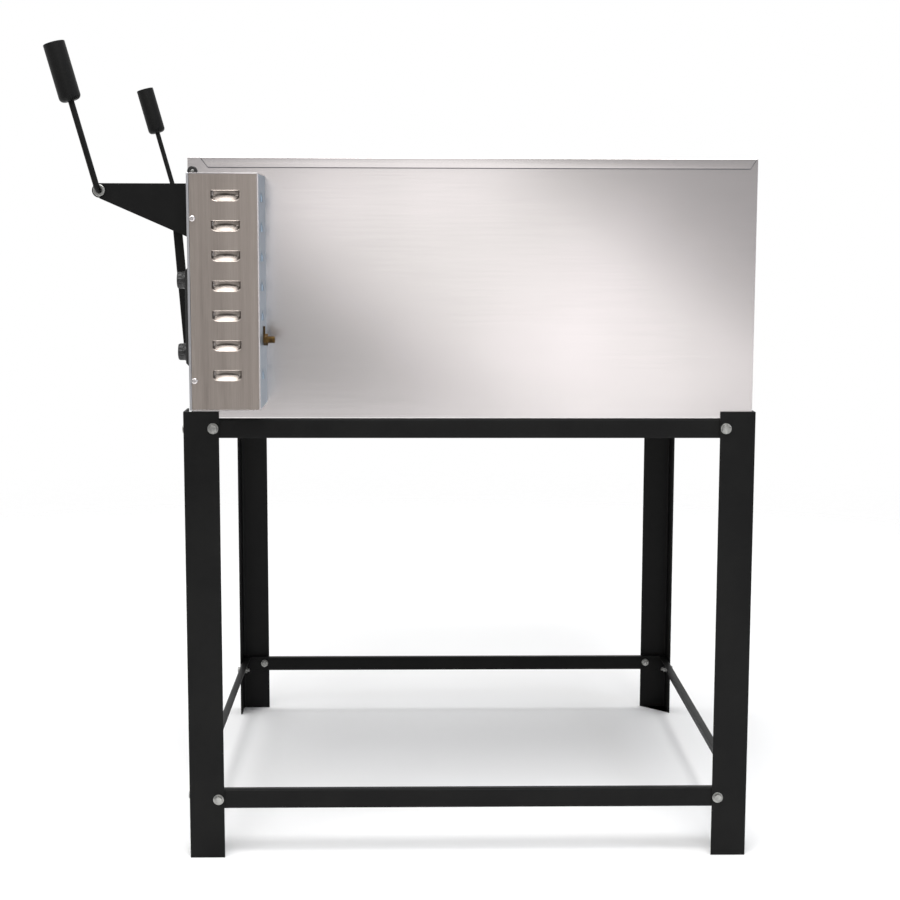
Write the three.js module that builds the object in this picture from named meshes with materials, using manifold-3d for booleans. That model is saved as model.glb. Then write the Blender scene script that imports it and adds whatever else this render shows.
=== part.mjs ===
// A gas deck oven on a bolted angle stand, with a counterweighted lift door.
// Millimetres, +Z up. The oven's front faces -Y and its gas box is on +X.
// Shapes are laid out in the stand's frame: X = 0 is the outer face of the right
// legs, Y = 0 the front face of the front legs and Z = 0 the floor.

import * as THREE from "three";
import { mergeVertices } from "three/addons/utils/BufferGeometryUtils.js";
import Module from "manifold-3d";

const wasm = await Module();
wasm.setup();

// ---------------------------------------------------------------- dimensions
const GAP = 0.3;
// How far a cutter runs past the wall that it goes through.
const PAST = 1;
// Sides of a full turn, from thin pipes to the largest turned pieces.
const SIDES = { pipe: 12, small: 16, medium: 20, round: 24, fine: 32 };

const STAND = { width: 950, depth: 970, legHeight: 782, angle: 60, sheet: 3 };
const RAIL = { top: 770, lowerTop: 121, height: 33, shelf: 15, sheet: 3 };
const CASE = {
  sheet: 1.5,
  front: 14,
  rear: 964,
  rearInset: 0.5,
  bottom: RAIL.top + GAP,
  top: 1207,
  foot: 14,
  footFront: 34,
  wallLift: 4.5,
  panSheet: 1.2,
  panRear: 961,
};
const SIDE_OUTER = -STAND.sheet - GAP;
const SIDE_INNER = SIDE_OUTER - CASE.sheet;
const COVER = { sheet: 1.2, front: 35, rear: 962, flange: 17, frontMitre: 13, rearMitre: 11 };
const REAR_VENT = {
  width: 200,
  height: 40,
  depth: 15,
  columns: [-235, -475, -715],
  rows: [850, 930, 1110],
};
const HOOD_LIP = { outer: 3, inner: 2 };
const FACE = { sheet: 1.2, sillFront: 30, sillTop: 864, frameFront: 54.2, openingTop: 1022, overhang: 0.5 };
const GUIDE = { front: 27, rear: 53.7, inner: -22, bottom: 866, top: 1186, sheet: 1.5 };
const CHAMBER = { right: -38, left: -912, front: 56.5, rear: 902, bottom: 800, top: 1024, sheet: 1.5 };
const BLANKET = { side: -12, rear: 940, bottom: 774.5, top: 1080, clearance: 0.5 };
const HEARTH = {
  bottom: 858,
  frame: 9,
  tile: 16,
  front: 60,
  rear: 890,
  bar: 20,
  ledge: 30,
  frameInset: 1,
  tileInset: 4,
  tileEnd: 0.5,
};
const BURNER = { header: -110, end: -840, rear: 800, runs: [200, 450, 700] };
const LOWER_BURNER = { z: 828, radius: 11 };
const UPPER_BURNER = { z: 1005, radius: 7 };

const BOX = { outer: 129, front: 28, rear: 142, bottom: 797, top: 1177, sheet: 1.2, panelReturn: 4 };
const LOUVRE = {
  first: 854,
  pitch: 47.7,
  count: 7,
  front: 66.5,
  width: 46,
  height: 17,
  depth: 8,
  rearDepth: 3.5,
  inletClearance: 12,
};
const KNOB = {
  x: 63,
  lower: 888,
  upper: 1005,
  radius: 14.5,
  front: 3,
  stem: 3,
  stemEnd: 45,
  faceInset: 2.5,
  edgeInset: 0.8,
  edge: 1.5,
  panelBore: 6,
  bezelBore: 5,
};
const BEZEL = { front: 18.5, right: 90, left: 36, bottom: 862, top: 1030, bevel: 9 };
const VALVE = { front: 46, rear: 84, half: 13, outletY: 66, stub: 12, stubRadius: 7 };
const FEED = { bore: 8, radius: 5, drop: 14, burnerEnd: 22 };
const MANIFOLD = { y: 96, radius: 9, bottom: 852, top: 1044, stub: 24, stubRadius: 7 };
const INLET = {
  x: 60,
  z: 908,
  hex: 10,
  hexLength: 8,
  barrel: 6,
  end: 161,
  tabHalf: 5,
  tabDepth: 6,
  tabHeight: 22,
};
const BOX_SCREW = {
  y: 37,
  lower: 845.7,
  upper: 1104.6,
  head: 5,
  shank: 1.8,
  length: 10,
  rise: 2.8,
  edge: 1.5,
  play: 0.5,
};
const GROMMET = { y: 22, z: 1183, radius: 8.5, hole: 4, rise: 3, taper: 0.8 };

const PIVOT = { y: -133, z: 1151, shaft: 5, boss: 12 };
const BRACKET = {
  sheet: 4,
  rear: 26,
  topZ: 1163,
  toeY: -10,
  toeZ: 1083,
  heelZ: 1069,
  noseEnd: Math.PI * 1.36,
};
const BUSH = { bore: 5.15, sleeve: 7, flange: 10, thick: 2.6, innerStand: 1 };
const ROD = { x: 8.5, radius: 5, lean: THREE.MathUtils.degToRad(15.5) };
const WEIGHT = { start: 150, length: 97, radius: 18, rounding: 8 };
const ARM = {
  x: -26,
  thick: 4,
  half: 11,
  hub: 13,
  web: 6,
  drop: THREE.MathUtils.degToRad(24.2),
  slotNear: 118,
  slotFar: 158,
  slotHalf: 7.5,
};
const LIFT_BAR = {
  x: -32,
  thick: 4,
  width: 15,
  topZ: 1105,
  bottomZ: 885,
  lugZ: 985,
  pinY: -8.5,
  pinZ: 1095,
  slope: 0.076,
};
const LIFT_PIN = { radius: 3, head: 9, headFrom: -23.4, headTo: -20.4 };

const DOOR = { right: -8, front: 30, skin: 1.2, depth: 19, bottom: 868, top: 1030, backSheet: 0.8 };
const HANDLE = { half: 105, y: 4, z: 905, radius: 7, post: 85, postRadius: 5.5 };
const THERMOMETER = { x: -690, z: 950, radius: 32, front: 19, rim: 2, stem: 3, probe: 16, bore: 5 };
const NEEDLE = {
  front: 23,
  back: 24.5,
  tip: 22,
  tipHalf: 0.6,
  tail: 6,
  tailHalf: 2.2,
  hub: 4,
  hubStand: 1,
};

const MIDDLE = -STAND.width / 2;

// The origin: the middle of the whole object's plan, on the floor.
const weightEnd = WEIGHT.start + WEIGHT.length;
const frontMost = PIVOT.y - weightEnd * Math.sin(ROD.lean) - WEIGHT.radius * Math.cos(ROD.lean);
const rearMost = CASE.rear - CASE.rearInset + REAR_VENT.depth;
const rightMost = BOX.outer + GAP + BOX_SCREW.rise;
const leftMost = -STAND.width - ROD.x - WEIGHT.radius;
const ORIGIN = new THREE.Vector3((rightMost + leftMost) / 2, (frontMost + rearMost) / 2, 0);

// ----------------------------------------------------------------- finishes
const finish = (color, roughness, metalness) =>
  new THREE.MeshStandardMaterial({ color, roughness, metalness });
const BLACK = finish(0x202020, 0.5, 0.2);
const STAINLESS = finish(0xb9b7b6, 0.3, 1);
const BRUSHED = finish(0x968d87, 0.45, 1);
const BRASS = finish(0x8a6a3a, 0.4, 1);
const PLASTIC = finish(0x161616, 0.45, 0);
const ZINC = finish(0xb5b5b5, 0.35, 1);
const STONE = finish(0xb8a88e, 0.9, 0);
const WOOL = finish(0xd8d2c4, 1, 0);
const STEEL = finish(0x7d7b78, 0.5, 1);

// ------------------------------------------------------------------ shaping
/** A manifold solid from a closed three.js geometry. */
function solid(geometry) {
  const bare = geometry.clone();
  bare.deleteAttribute("normal");
  bare.deleteAttribute("uv");
  const merged = mergeVertices(bare, 1e-4);
  return new wasm.Manifold(
    new wasm.Mesh({
      numProp: 3,
      vertProperties: new Float32Array(merged.attributes.position.array),
      triVerts: new Uint32Array(merged.index.array),
    }),
  );
}

/** A three.js geometry from a manifold solid. */
function geometryOf(body) {
  const mesh = body.getMesh();
  const geometry = new THREE.BufferGeometry();
  geometry.setAttribute("position", new THREE.BufferAttribute(new Float32Array(mesh.vertProperties), 3));
  geometry.setIndex(new THREE.BufferAttribute(new Uint32Array(mesh.triVerts), 1));
  geometry.computeVertexNormals();
  return geometry;
}

const join = (...shapes) => geometryOf(shapes.map(solid).reduce((whole, piece) => whole.add(piece)));
const cut = (base, ...tools) =>
  geometryOf(tools.map(solid).reduce((whole, tool) => whole.subtract(tool), solid(base)));

/** A box from its lowest to its highest coordinate along each axis. */
function block([x0, x1], [y0, y1], [z0, z1]) {
  const box = new THREE.BoxGeometry(x1 - x0, y1 - y0, z1 - z0);
  return box.translate((x0 + x1) / 2, (y0 + y1) / 2, (z0 + z1) / 2);
}

/** An outline of [Y, Z] points made a plate from x0 to x1. */
function plateX(points, [x0, x1]) {
  const shape = new THREE.Shape(points.map(([y, z]) => new THREE.Vector2(y, z)));
  return extrudeX(shape, [x0, x1]);
}

/** A shape drawn in Y and Z, made a plate from x0 to x1. */
function extrudeX(shape, [x0, x1], curveSegments = SIDES.round / 2) {
  const plate = new THREE.ExtrudeGeometry(shape, { depth: x1 - x0, bevelEnabled: false, curveSegments });
  const turn = new THREE.Matrix4().makeBasis(
    new THREE.Vector3(0, 1, 0),
    new THREE.Vector3(0, 0, 1),
    new THREE.Vector3(1, 0, 0),
  );
  return plate.applyMatrix4(turn).translate(x0, 0, 0);
}

/** An outline of [X, Z] points made a plate from y0 to y1. */
function plateY(points, [y0, y1]) {
  const shape = new THREE.Shape(points.map(([x, z]) => new THREE.Vector2(z, x)));
  const plate = new THREE.ExtrudeGeometry(shape, { depth: y1 - y0, bevelEnabled: false });
  const turn = new THREE.Matrix4().makeBasis(
    new THREE.Vector3(0, 0, 1),
    new THREE.Vector3(1, 0, 0),
    new THREE.Vector3(0, 1, 0),
  );
  return plate.applyMatrix4(turn).translate(0, y0, 0);
}

/** A straight round bar between two points. */
function bar(from, to, radius, sides = SIDES.round) {
  const start = new THREE.Vector3(...from);
  const end = new THREE.Vector3(...to);
  const length = start.distanceTo(end);
  const cylinder = new THREE.CylinderGeometry(radius, radius, length, sides);
  const direction = end.clone().sub(start).normalize();
  const turn = new THREE.Quaternion().setFromUnitVectors(new THREE.Vector3(0, 1, 0), direction);
  return cylinder.applyQuaternion(turn).translate(...start.add(end).multiplyScalar(0.5).toArray());
}

/** A profile of [radius, height] points turned about Y, then aimed along a direction from a point. */
function turned(profile, from, direction, sides = SIDES.round) {
  const lathe = new THREE.LatheGeometry(
    profile.map(([radius, height]) => new THREE.Vector2(radius, height)),
    sides,
  );
  const aim = new THREE.Vector3(...direction).normalize();
  const turn = new THREE.Quaternion().setFromUnitVectors(new THREE.Vector3(0, 1, 0), aim);
  return lathe.applyQuaternion(turn).translate(...from);
}

/** A pipe along straight runs, with a ball at each elbow. */
function pipe(points, radius, sides = SIDES.pipe) {
  const runs = points.slice(1).map((point, i) => bar(points[i], point, radius, sides));
  const elbows = points
    .slice(1, -1)
    .map((point) => new THREE.SphereGeometry(radius, sides, sides / 2).translate(...point));
  return join(...runs, ...elbows);
}

/** The same geometry on the other side of the oven, with its faces kept outwards. */
function mirrored(geometry) {
  const flipped = geometry.index ? geometry.toNonIndexed() : geometry.clone();
  flipped.scale(-1, 1, 1).translate(2 * MIDDLE, 0, 0);
  const corners = flipped.attributes.position;
  for (let i = 0; i < corners.count; i += 3) {
    const second = new THREE.Vector3().fromBufferAttribute(corners, i + 1);
    const third = new THREE.Vector3().fromBufferAttribute(corners, i + 2);
    corners.setXYZ(i + 1, ...third.toArray());
    corners.setXYZ(i + 2, ...second.toArray());
  }
  flipped.computeVertexNormals();
  return flipped;
}

const oven = new THREE.Group();
oven.position.copy(ORIGIN).negate();

/** A named group of the oven. */
function section(name) {
  const group = new THREE.Group();
  group.name = name;
  oven.add(group);
  return group;
}

/** One sub-part as a named mesh in its group. */
function place(group, name, geometry, material) {
  const mesh = new THREE.Mesh(geometry, material);
  mesh.name = name;
  group.add(mesh);
}

/** A right-hand piece and its mirror image on the left. */
function placePair(group, name, geometry, material) {
  place(group, `${name}_right`, geometry, material);
  place(group, `${name}_left`, mirrored(geometry), material);
}

// -------------------------------------------------------------------- stand
/** An L-section leg with its corner outwards, at the front or the rear right. */
function standLeg(atRear) {
  const { angle, sheet, depth, legHeight } = STAND;
  const side = atRear ? [depth - angle, depth] : [0, angle];
  const across = atRear ? [depth - sheet, depth] : [0, sheet];
  return join(block([-sheet, 0], side, [0, legHeight]), block([-angle, 0], across, [0, legHeight]));
}

/** A folded rail along Y: an upright web against the legs, with a shelf turned in at its top. */
function sideRail(top) {
  const { height, shelf, sheet } = RAIL;
  const x = SIDE_OUTER;
  const section = [
    [x, top - height],
    [x, top],
    [x - shelf, top],
    [x - shelf, top - sheet],
    [x - sheet, top - sheet],
    [x - sheet, top - height],
  ];
  return plateY(section, [STAND.sheet + 2 * GAP, STAND.depth - STAND.sheet - 2 * GAP]);
}

/** The same rail along X, at the front or the rear, between the side rails' shelves. */
function crossRail(top, atRear) {
  const { height, shelf, sheet } = RAIL;
  const face = atRear ? STAND.depth - STAND.sheet - GAP : STAND.sheet + GAP;
  const inward = atRear ? -1 : 1;
  const section = [
    [face, top - height],
    [face, top],
    [face + inward * shelf, top],
    [face + inward * shelf, top - sheet],
    [face + inward * sheet, top - sheet],
    [face + inward * sheet, top - height],
  ];
  const end = SIDE_OUTER - shelf - GAP;
  return plateX(section, [-STAND.width - end, end]);
}

function buildStand() {
  const stand = section("stand");
  placePair(stand, "stand_leg_front", standLeg(false), BLACK);
  placePair(stand, "stand_leg_rear", standLeg(true), BLACK);
  for (const [name, top] of [
    ["top_rail", RAIL.top],
    ["lower_rail", RAIL.lowerTop],
  ]) {
    placePair(stand, name, sideRail(top), BLACK);
    place(stand, `${name}_front`, crossRail(top, false), BLACK);
    place(stand, `${name}_rear`, crossRail(top, true), BLACK);
  }
}

// ------------------------------------------------------------------- casing
const inside = [-STAND.width - SIDE_INNER + GAP, SIDE_INNER - GAP];
const underCover = CASE.top - COVER.sheet - GAP;

/** The cutters that open a wall between two X positions for both gas feeds. */
function feedBores(from, to) {
  return [LOWER_BURNER.z, UPPER_BURNER.z].map((z) =>
    bar([from, VALVE.outletY, z], [to, VALVE.outletY, z], FEED.bore),
  );
}

/** A side wall with a foot turned in under the base pan and openings for the two gas feeds. */
function sidePanel(withFeeds) {
  const wall = block([SIDE_INNER, SIDE_OUTER], [CASE.front, CASE.rear], [CASE.bottom, underCover]);
  const foot = block(
    [SIDE_INNER - CASE.foot, SIDE_OUTER],
    [CASE.footFront, CASE.rear],
    [CASE.bottom, CASE.bottom + CASE.sheet],
  );
  const panel = join(wall, foot);
  return withFeeds ? cut(panel, ...feedBores(SIDE_INNER - PAST, SIDE_OUTER + PAST)) : panel;
}

/** A pressed louvre: the outer hood and the cutter that opens it downwards, as [depth, height] outlines. */
function louvreOutlines(height, depth, sheet) {
  const half = height / 2;
  return {
    hood: [
      [-sheet / 2, half],
      [depth, -half + HOOD_LIP.outer],
      [depth, -half],
      [-sheet / 2, -half],
    ],
    mouth: [
      [-3 * sheet, half - sheet],
      [-sheet, half - sheet],
      [depth - sheet, -half + HOOD_LIP.inner],
      [depth - sheet, -half - sheet],
      [-3 * sheet, -half - sheet],
    ],
  };
}

/** A louvre standing out along +Y from a wall whose outer face is at y. */
function rearLouvre(x, y, z, { width, height }, depth, sheet) {
  const { hood, mouth } = louvreOutlines(height, depth, sheet);
  const at = (outline) => outline.map(([out, up]) => [y + out, z + up]);
  return {
    hood: plateX(at(hood), [x - width / 2, x + width / 2]),
    mouth: plateX(at(mouth), [x - width / 2 + sheet, x + width / 2 - sheet]),
  };
}

/** A scoop pressed inwards from a wall whose outer face is at x: its floor falls back from the lower edge. */
function sideScoop(x, y, z, { width, height, depth }, sheet) {
  const half = height / 2;
  const slope = [
    [x, z - half],
    [x, z - half + sheet],
    [x - depth, z + half],
    [x - depth - sheet, z + half],
    [x - sheet, z - half],
  ];
  const ends = [
    [x, z - half],
    [x, z + half],
    [x - depth - sheet, z + half],
    [x - sheet, z - half],
  ];
  const from = y - width / 2;
  const to = y + width / 2;
  return {
    pressing: join(
      plateY(slope, [from, to]),
      plateY(ends, [from, from + sheet]),
      plateY(ends, [to - sheet, to]),
    ),
    opening: block([x - sheet - PAST, x + PAST], [from, to], [z - half, z + half]),
  };
}

/** The rear wall, with rows of vent louvres. */
function rearPanel() {
  const outer = rearMost - REAR_VENT.depth;
  const sheet = CASE.sheet;
  const wall = block(inside, [outer - sheet, outer], [CASE.bottom + CASE.wallLift, underCover]);
  const louvres = REAR_VENT.rows.flatMap((z) =>
    REAR_VENT.columns.map((x) => rearLouvre(x, outer, z, REAR_VENT, REAR_VENT.depth, sheet)),
  );
  const hoods = louvres.map((louvre) => louvre.hood);
  const mouths = louvres.map((louvre) => louvre.mouth);
  return cut(join(wall, ...hoods), ...mouths);
}

/** The lid: a sheet with a mitred flange turned down over each side wall. */
function topCover() {
  const { front, rear, sheet, flange, frontMitre, rearMitre } = COVER;
  const outline = [
    [front, CASE.top],
    [front + frontMitre, CASE.top - flange],
    [rear - rearMitre, CASE.top - flange],
    [rear, CASE.top],
  ];
  const outer = SIDE_OUTER + GAP + sheet;
  const inner = SIDE_OUTER + GAP;
  return join(
    block([-STAND.width - outer, outer], [front, rear], [CASE.top - sheet, CASE.top]),
    plateX(outline, [inner, outer]),
    plateX(outline, [-STAND.width - outer, -STAND.width - inner]),
  );
}

/** The face around the chamber's mouth: a header and two cheeks. */
function frontFrame() {
  const { sheet, frameFront, openingTop, overhang } = FACE;
  const face = block(inside, [frameFront, frameFront + sheet], [GUIDE.bottom, underCover]);
  const mouth = block(
    [CHAMBER.left + overhang, CHAMBER.right - overhang],
    [frameFront - PAST, frameFront + sheet + PAST],
    [GUIDE.bottom - PAST, openingTop],
  );
  return cut(face, mouth);
}

/** The fascia under the door, with a ledge back to the chamber's mouth. */
function frontSill() {
  const { sheet, sillFront, sillTop } = FACE;
  return join(
    block(inside, [sillFront, sillFront + sheet], [CASE.bottom + CASE.wallLift, sillTop]),
    block(inside, [sillFront, CHAMBER.front - GAP], [sillTop - sheet, sillTop]),
  );
}

/** A channel that the door's edge runs in, open towards the middle of the oven. */
function doorGuide() {
  const { front, rear, inner, bottom, top, sheet } = GUIDE;
  const outer = SIDE_INNER - GAP;
  return join(
    block([outer - sheet, outer], [front, rear], [bottom, top]),
    block([inner, outer], [front, front + sheet], [bottom, top]),
    block([inner, outer], [rear - sheet, rear], [bottom, top]),
  );
}

/** The floor of the casing, on the side walls' feet. */
function basePan() {
  const floor = CASE.bottom + CASE.sheet + GAP;
  return block(inside, [FACE.sillFront, CASE.panRear], [floor, floor + CASE.panSheet]);
}

function buildCasing() {
  const casing = section("casing");
  place(casing, "side_panel_right", sidePanel(true), STAINLESS);
  place(casing, "side_panel_left", mirrored(sidePanel(false)), STAINLESS);
  place(casing, "rear_panel", rearPanel(), STAINLESS);
  place(casing, "base_pan", basePan(), STEEL);
  place(casing, "top_cover", topCover(), STAINLESS);
  place(casing, "front_frame", frontFrame(), STAINLESS);
  place(casing, "front_sill", frontSill(), STAINLESS);
  placePair(casing, "door_guide", doorGuide(), STAINLESS);
}

// ------------------------------------------------------------------ chamber
/** The baking chamber: a folded box open at the front. */
function chamberLiner() {
  const { right, left, front, rear, bottom, top, sheet } = CHAMBER;
  const shell = block([left, right], [front, rear], [bottom, top]);
  const room = block(
    [left + sheet, right - sheet],
    [front - PAST, rear - sheet],
    [bottom + sheet, top - sheet],
  );
  return cut(shell, room, ...feedBores(right - sheet - PAST, right + PAST));
}

/** The mineral-wool blanket around the chamber. */
function insulationBlanket() {
  const { right, left, front, rear, bottom, top } = CHAMBER;
  const { side, rear: back, bottom: under, top: over, clearance } = BLANKET;
  const wrap = block([-STAND.width - side, side], [front + clearance, back], [under, over]);
  const room = block(
    [left - clearance, right + clearance],
    [front - PAST, rear + clearance],
    [bottom - clearance, top + clearance],
  );
  return cut(wrap, room, ...feedBores(right, side + PAST));
}

/** The ladder of bars that carries the hearth tiles. */
function hearthFrame() {
  const { bottom, frame, front, rear, bar: wide, ledge, frameInset } = HEARTH;
  const height = [bottom, bottom + frame];
  const right = CHAMBER.right - CHAMBER.sheet - frameInset;
  const left = CHAMBER.left + CHAMBER.sheet + frameInset;
  const middle = (front + rear) / 2;
  const cross = [front, middle - wide / 2, rear - wide].map((y) =>
    block([left, right], [y, y + wide], height),
  );
  return join(
    block([right - ledge, right], [front, rear], height),
    block([left, left + ledge], [front, rear], height),
    ...cross,
  );
}

/** One of the two tiles of the hearth. */
function hearthTile(y0, y1) {
  const { bottom, frame, tile, tileInset } = HEARTH;
  const floor = bottom + frame + GAP;
  return block([CHAMBER.left + tileInset, CHAMBER.right - tileInset], [y0, y1], [floor, floor + tile]);
}

/** A burner: a header tube along the chamber's right side with runs across it. */
function burner({ z, radius }) {
  const { header, end, rear, runs } = BURNER;
  const start = [CHAMBER.right - FEED.burnerEnd, VALVE.outletY, z];
  const elbow = [header, VALVE.outletY, z];
  return join(
    pipe([start, elbow, [header, rear, z]], radius),
    ...runs.map((y) => bar([header, y, z], [end, y, z], radius, SIDES.pipe)),
  );
}

function buildChamber() {
  const chamber = section("chamber");
  const middle = (HEARTH.front + HEARTH.rear) / 2;
  place(chamber, "chamber_liner", chamberLiner(), STEEL);
  place(chamber, "insulation_blanket", insulationBlanket(), WOOL);
  place(chamber, "hearth_frame", hearthFrame(), STEEL);
  place(chamber, "hearth_tile_front", hearthTile(HEARTH.front + HEARTH.tileEnd, middle - GAP), STONE);
  place(chamber, "hearth_tile_rear", hearthTile(middle + GAP, HEARTH.rear - HEARTH.tileEnd), STONE);
  place(chamber, "lower_burner", burner(LOWER_BURNER), STEEL);
  place(chamber, "upper_burner", burner(UPPER_BURNER), STEEL);
}

// ------------------------------------------------------------------ gas box
const boxInner = SIDE_OUTER + GAP;
const panelRear = BOX.front + BOX.panelReturn;
const louvreHeights = Array.from({ length: LOUVRE.count }, (_, i) => LOUVRE.first + i * LOUVRE.pitch);

/** The louvred cover: outer, rear, top and bottom walls, open to the side wall and the control panel. */
function gasBoxCover() {
  const { outer, rear, bottom, top, sheet } = BOX;
  const rearX = (boxInner + outer) / 2;
  const scoopY = LOUVRE.front + LOUVRE.width / 2;
  const scoops = louvreHeights.map((z) => sideScoop(outer, scoopY, z, LOUVRE, sheet));
  const louvres = louvreHeights.map((z) => {
    const clear = Math.abs(z - INLET.z) < LOUVRE.inletClearance ? -LOUVRE.inletClearance : 0;
    return rearLouvre(rearX, rear, z + clear, LOUVRE, LOUVRE.rearDepth, sheet);
  });
  const front = panelRear + GAP;
  const shell = cut(
    block([boxInner, outer], [front, rear], [bottom, top]),
    block([boxInner - PAST, outer - sheet], [front - PAST, rear - sheet], [bottom + sheet, top - sheet]),
    ...scoops.map((scoop) => scoop.opening),
  );
  const { y: screwY, shank, play } = BOX_SCREW;
  const screws = [BOX_SCREW.lower, BOX_SCREW.upper].map((z) =>
    bar([outer - sheet - PAST, screwY, z], [outer + PAST, screwY, z], shank + play, SIDES.pipe),
  );
  const inletBore = INLET.barrel + 1;
  const inlet = bar([INLET.x, rear - sheet - PAST, INLET.z], [INLET.x, rear + PAST, INLET.z], inletBore);
  const pressings = scoops.map((scoop) => scoop.pressing);
  const hoods = louvres.map((louvre) => louvre.hood);
  const mouths = louvres.map((louvre) => louvre.mouth);
  return cut(join(shell, ...pressings, ...hoods), ...mouths, ...screws, inlet);
}

/** The cutters for both knobs' stems between two Y positions. */
function stemBores(from, to, radius) {
  return [KNOB.lower, KNOB.upper].map((z) => bar([KNOB.x, from, z], [KNOB.x, to, z], radius));
}

/** The control panel: a shallow tray with its edges turned back. */
function controlPanel() {
  const { outer, front, bottom, top, sheet } = BOX;
  const tray = block([boxInner, outer], [front, panelRear], [bottom, top]);
  const pocket = block(
    [boxInner + sheet, outer - sheet],
    [front + sheet, panelRear + PAST],
    [bottom + sheet, top - sheet],
  );
  return cut(tray, pocket, ...stemBores(front - PAST, front + sheet + PAST, KNOB.panelBore));
}

/** The raised plate behind the knobs, bevelled at its top and bottom. */
function knobBezel() {
  const { front, right, left, bottom, top, bevel } = BEZEL;
  const back = BOX.front - GAP;
  const outline = [
    [back, bottom],
    [back, top],
    [front, top - bevel],
    [front, bottom + bevel],
  ];
  return cut(plateX(outline, [left, right]), ...stemBores(front - PAST, back + PAST, KNOB.bezelBore));
}

/** A round knob with its stem. */
function knob(z) {
  const { x, radius, front, stem, stemEnd, faceInset, edgeInset, edge } = KNOB;
  const depth = BEZEL.front - GAP - front;
  const profile = [
    [0, 0],
    [radius - faceInset, 0],
    [radius - edgeInset, edge],
    [radius, depth - edge],
    [radius - edgeInset, depth],
    [stem, depth],
    [stem, stemEnd - front],
    [0, stemEnd - front],
  ];
  return turned(profile, [x, front, z], [0, 1, 0]);
}

/** A gas tap: its body, its stub into the manifold and its outlet towards the oven. */
function gasValve(z) {
  const { front, rear, half, outletY, stub, stubRadius } = VALVE;
  return join(
    block([KNOB.x - half, KNOB.x + half], [front, rear], [z - half, z + half]),
    bar([KNOB.x - half - stub, outletY, z], [KNOB.x, outletY, z], stubRadius, SIDES.pipe),
  );
}

/** The upright manifold that feeds both taps, with a stub to the inlet. */
function gasManifold() {
  const { y, radius, bottom, top, stub, stubRadius } = MANIFOLD;
  return join(
    bar([KNOB.x, y, bottom], [KNOB.x, y, top], radius, SIDES.small),
    bar([INLET.x, y, INLET.z], [INLET.x, y + stub, INLET.z], stubRadius, SIDES.small),
  );
}

/** The pipe from a tap, down or straight, through the side wall to its burner. */
function feedPipe(tapZ, burnerZ) {
  const start = KNOB.x - VALVE.half - VALVE.stub - GAP;
  const y = VALVE.outletY;
  const end = CHAMBER.right - FEED.burnerEnd + GAP;
  const drop = [
    [start - FEED.drop, y, tapZ],
    [start - FEED.drop, y, burnerZ],
  ];
  return pipe([[start, y, tapZ], ...(tapZ === burnerZ ? [] : drop), [end, y, burnerZ]], FEED.radius);
}

/** The brass gas inlet: a hexagon and a tab against the rear wall, a barrel and an inner spigot. */
function inletFitting() {
  const { x, z, hex, hexLength, barrel, end, tabHalf, tabDepth, tabHeight } = INLET;
  const face = BOX.rear + GAP;
  return join(
    bar([x, MANIFOLD.y + MANIFOLD.stub + GAP, z], [x, end, z], barrel, SIDES.small),
    bar([x, face, z], [x, face + hexLength, z], hex, 6),
    block([x - tabHalf, x + tabHalf], [face, face + tabDepth], [z, z + tabHeight]),
  );
}

/** A pan-head screw in the cover's outer wall. */
function coverScrew(z) {
  const { head, shank, length, rise, edge, y } = BOX_SCREW;
  const profile = [
    [0, 0],
    [shank, 0],
    [shank, length],
    [head, length],
    [head, length + rise / 2],
    [head - edge, length + rise],
    [0, length + rise],
  ];
  return turned(profile, [BOX.outer + GAP - length, y, z], [1, 0, 0], SIDES.small);
}

/** A round grommet on the side wall's top front corner. */
function sideGrommet() {
  const { y, z, radius, hole, rise, taper } = GROMMET;
  const profile = [
    [hole, 0],
    [radius, 0],
    [radius - taper, rise],
    [hole, rise],
    [hole, 0],
  ];
  return turned(profile, [SIDE_OUTER + GAP, y, z], [1, 0, 0], SIDES.medium);
}

function buildGasBox() {
  const box = section("gas_box");
  place(box, "gas_box_cover", gasBoxCover(), BRUSHED);
  place(box, "control_panel", controlPanel(), BRUSHED);
  place(box, "knob_bezel", knobBezel(), PLASTIC);
  for (const [name, knobZ, burnerZ] of [
    ["lower", KNOB.lower, LOWER_BURNER.z],
    ["upper", KNOB.upper, UPPER_BURNER.z],
  ]) {
    place(box, `knob_${name}`, knob(knobZ), PLASTIC);
    place(box, `gas_valve_${name}`, gasValve(knobZ), BRASS);
    place(box, `feed_pipe_${name}`, feedPipe(knobZ, burnerZ), STEEL);
    place(box, `gas_box_screw_${name}`, coverScrew(BOX_SCREW[name]), ZINC);
  }
  place(box, "gas_manifold", gasManifold(), STEEL);
  place(box, "inlet_fitting", inletFitting(), BRASS);
  place(box, "side_grommet", sideGrommet(), PLASTIC);
}

// --------------------------------------------------------------- door and lift
/** The bracket plate that carries one end of the pivot shaft in front of the oven. */
function liftBracket() {
  const outer = SIDE_INNER - GAP;
  const { sheet, rear, topZ, toeY, toeZ, heelZ, noseEnd } = BRACKET;
  const { y, z, boss } = PIVOT;
  const shape = new THREE.Shape();
  shape.moveTo(rear, topZ);
  shape.lineTo(y, z + boss);
  shape.absarc(y, z, boss, Math.PI / 2, noseEnd, false);
  shape.lineTo(toeY, toeZ);
  shape.lineTo(rear, heelZ);
  const plate = extrudeX(shape, [outer - sheet, outer], SIDES.medium / 2);
  return cut(plate, bar([outer - sheet - PAST, y, z], [outer + PAST, y, z], BUSH.sleeve + GAP));
}

/** The flanged bush that the shaft turns in. */
function pivotBush() {
  const { bore, sleeve, flange, thick, innerStand } = BUSH;
  const outer = SIDE_INNER - GAP;
  const length = BRACKET.sheet + innerStand;
  const profile = [
    [bore, 0],
    [sleeve, 0],
    [sleeve, length + GAP],
    [flange, length + GAP],
    [flange, length + GAP + thick],
    [bore, length + GAP + thick],
    [bore, 0],
  ];
  return turned(profile, [outer - length, PIVOT.y, PIVOT.z], [1, 0, 0]);
}

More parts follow.
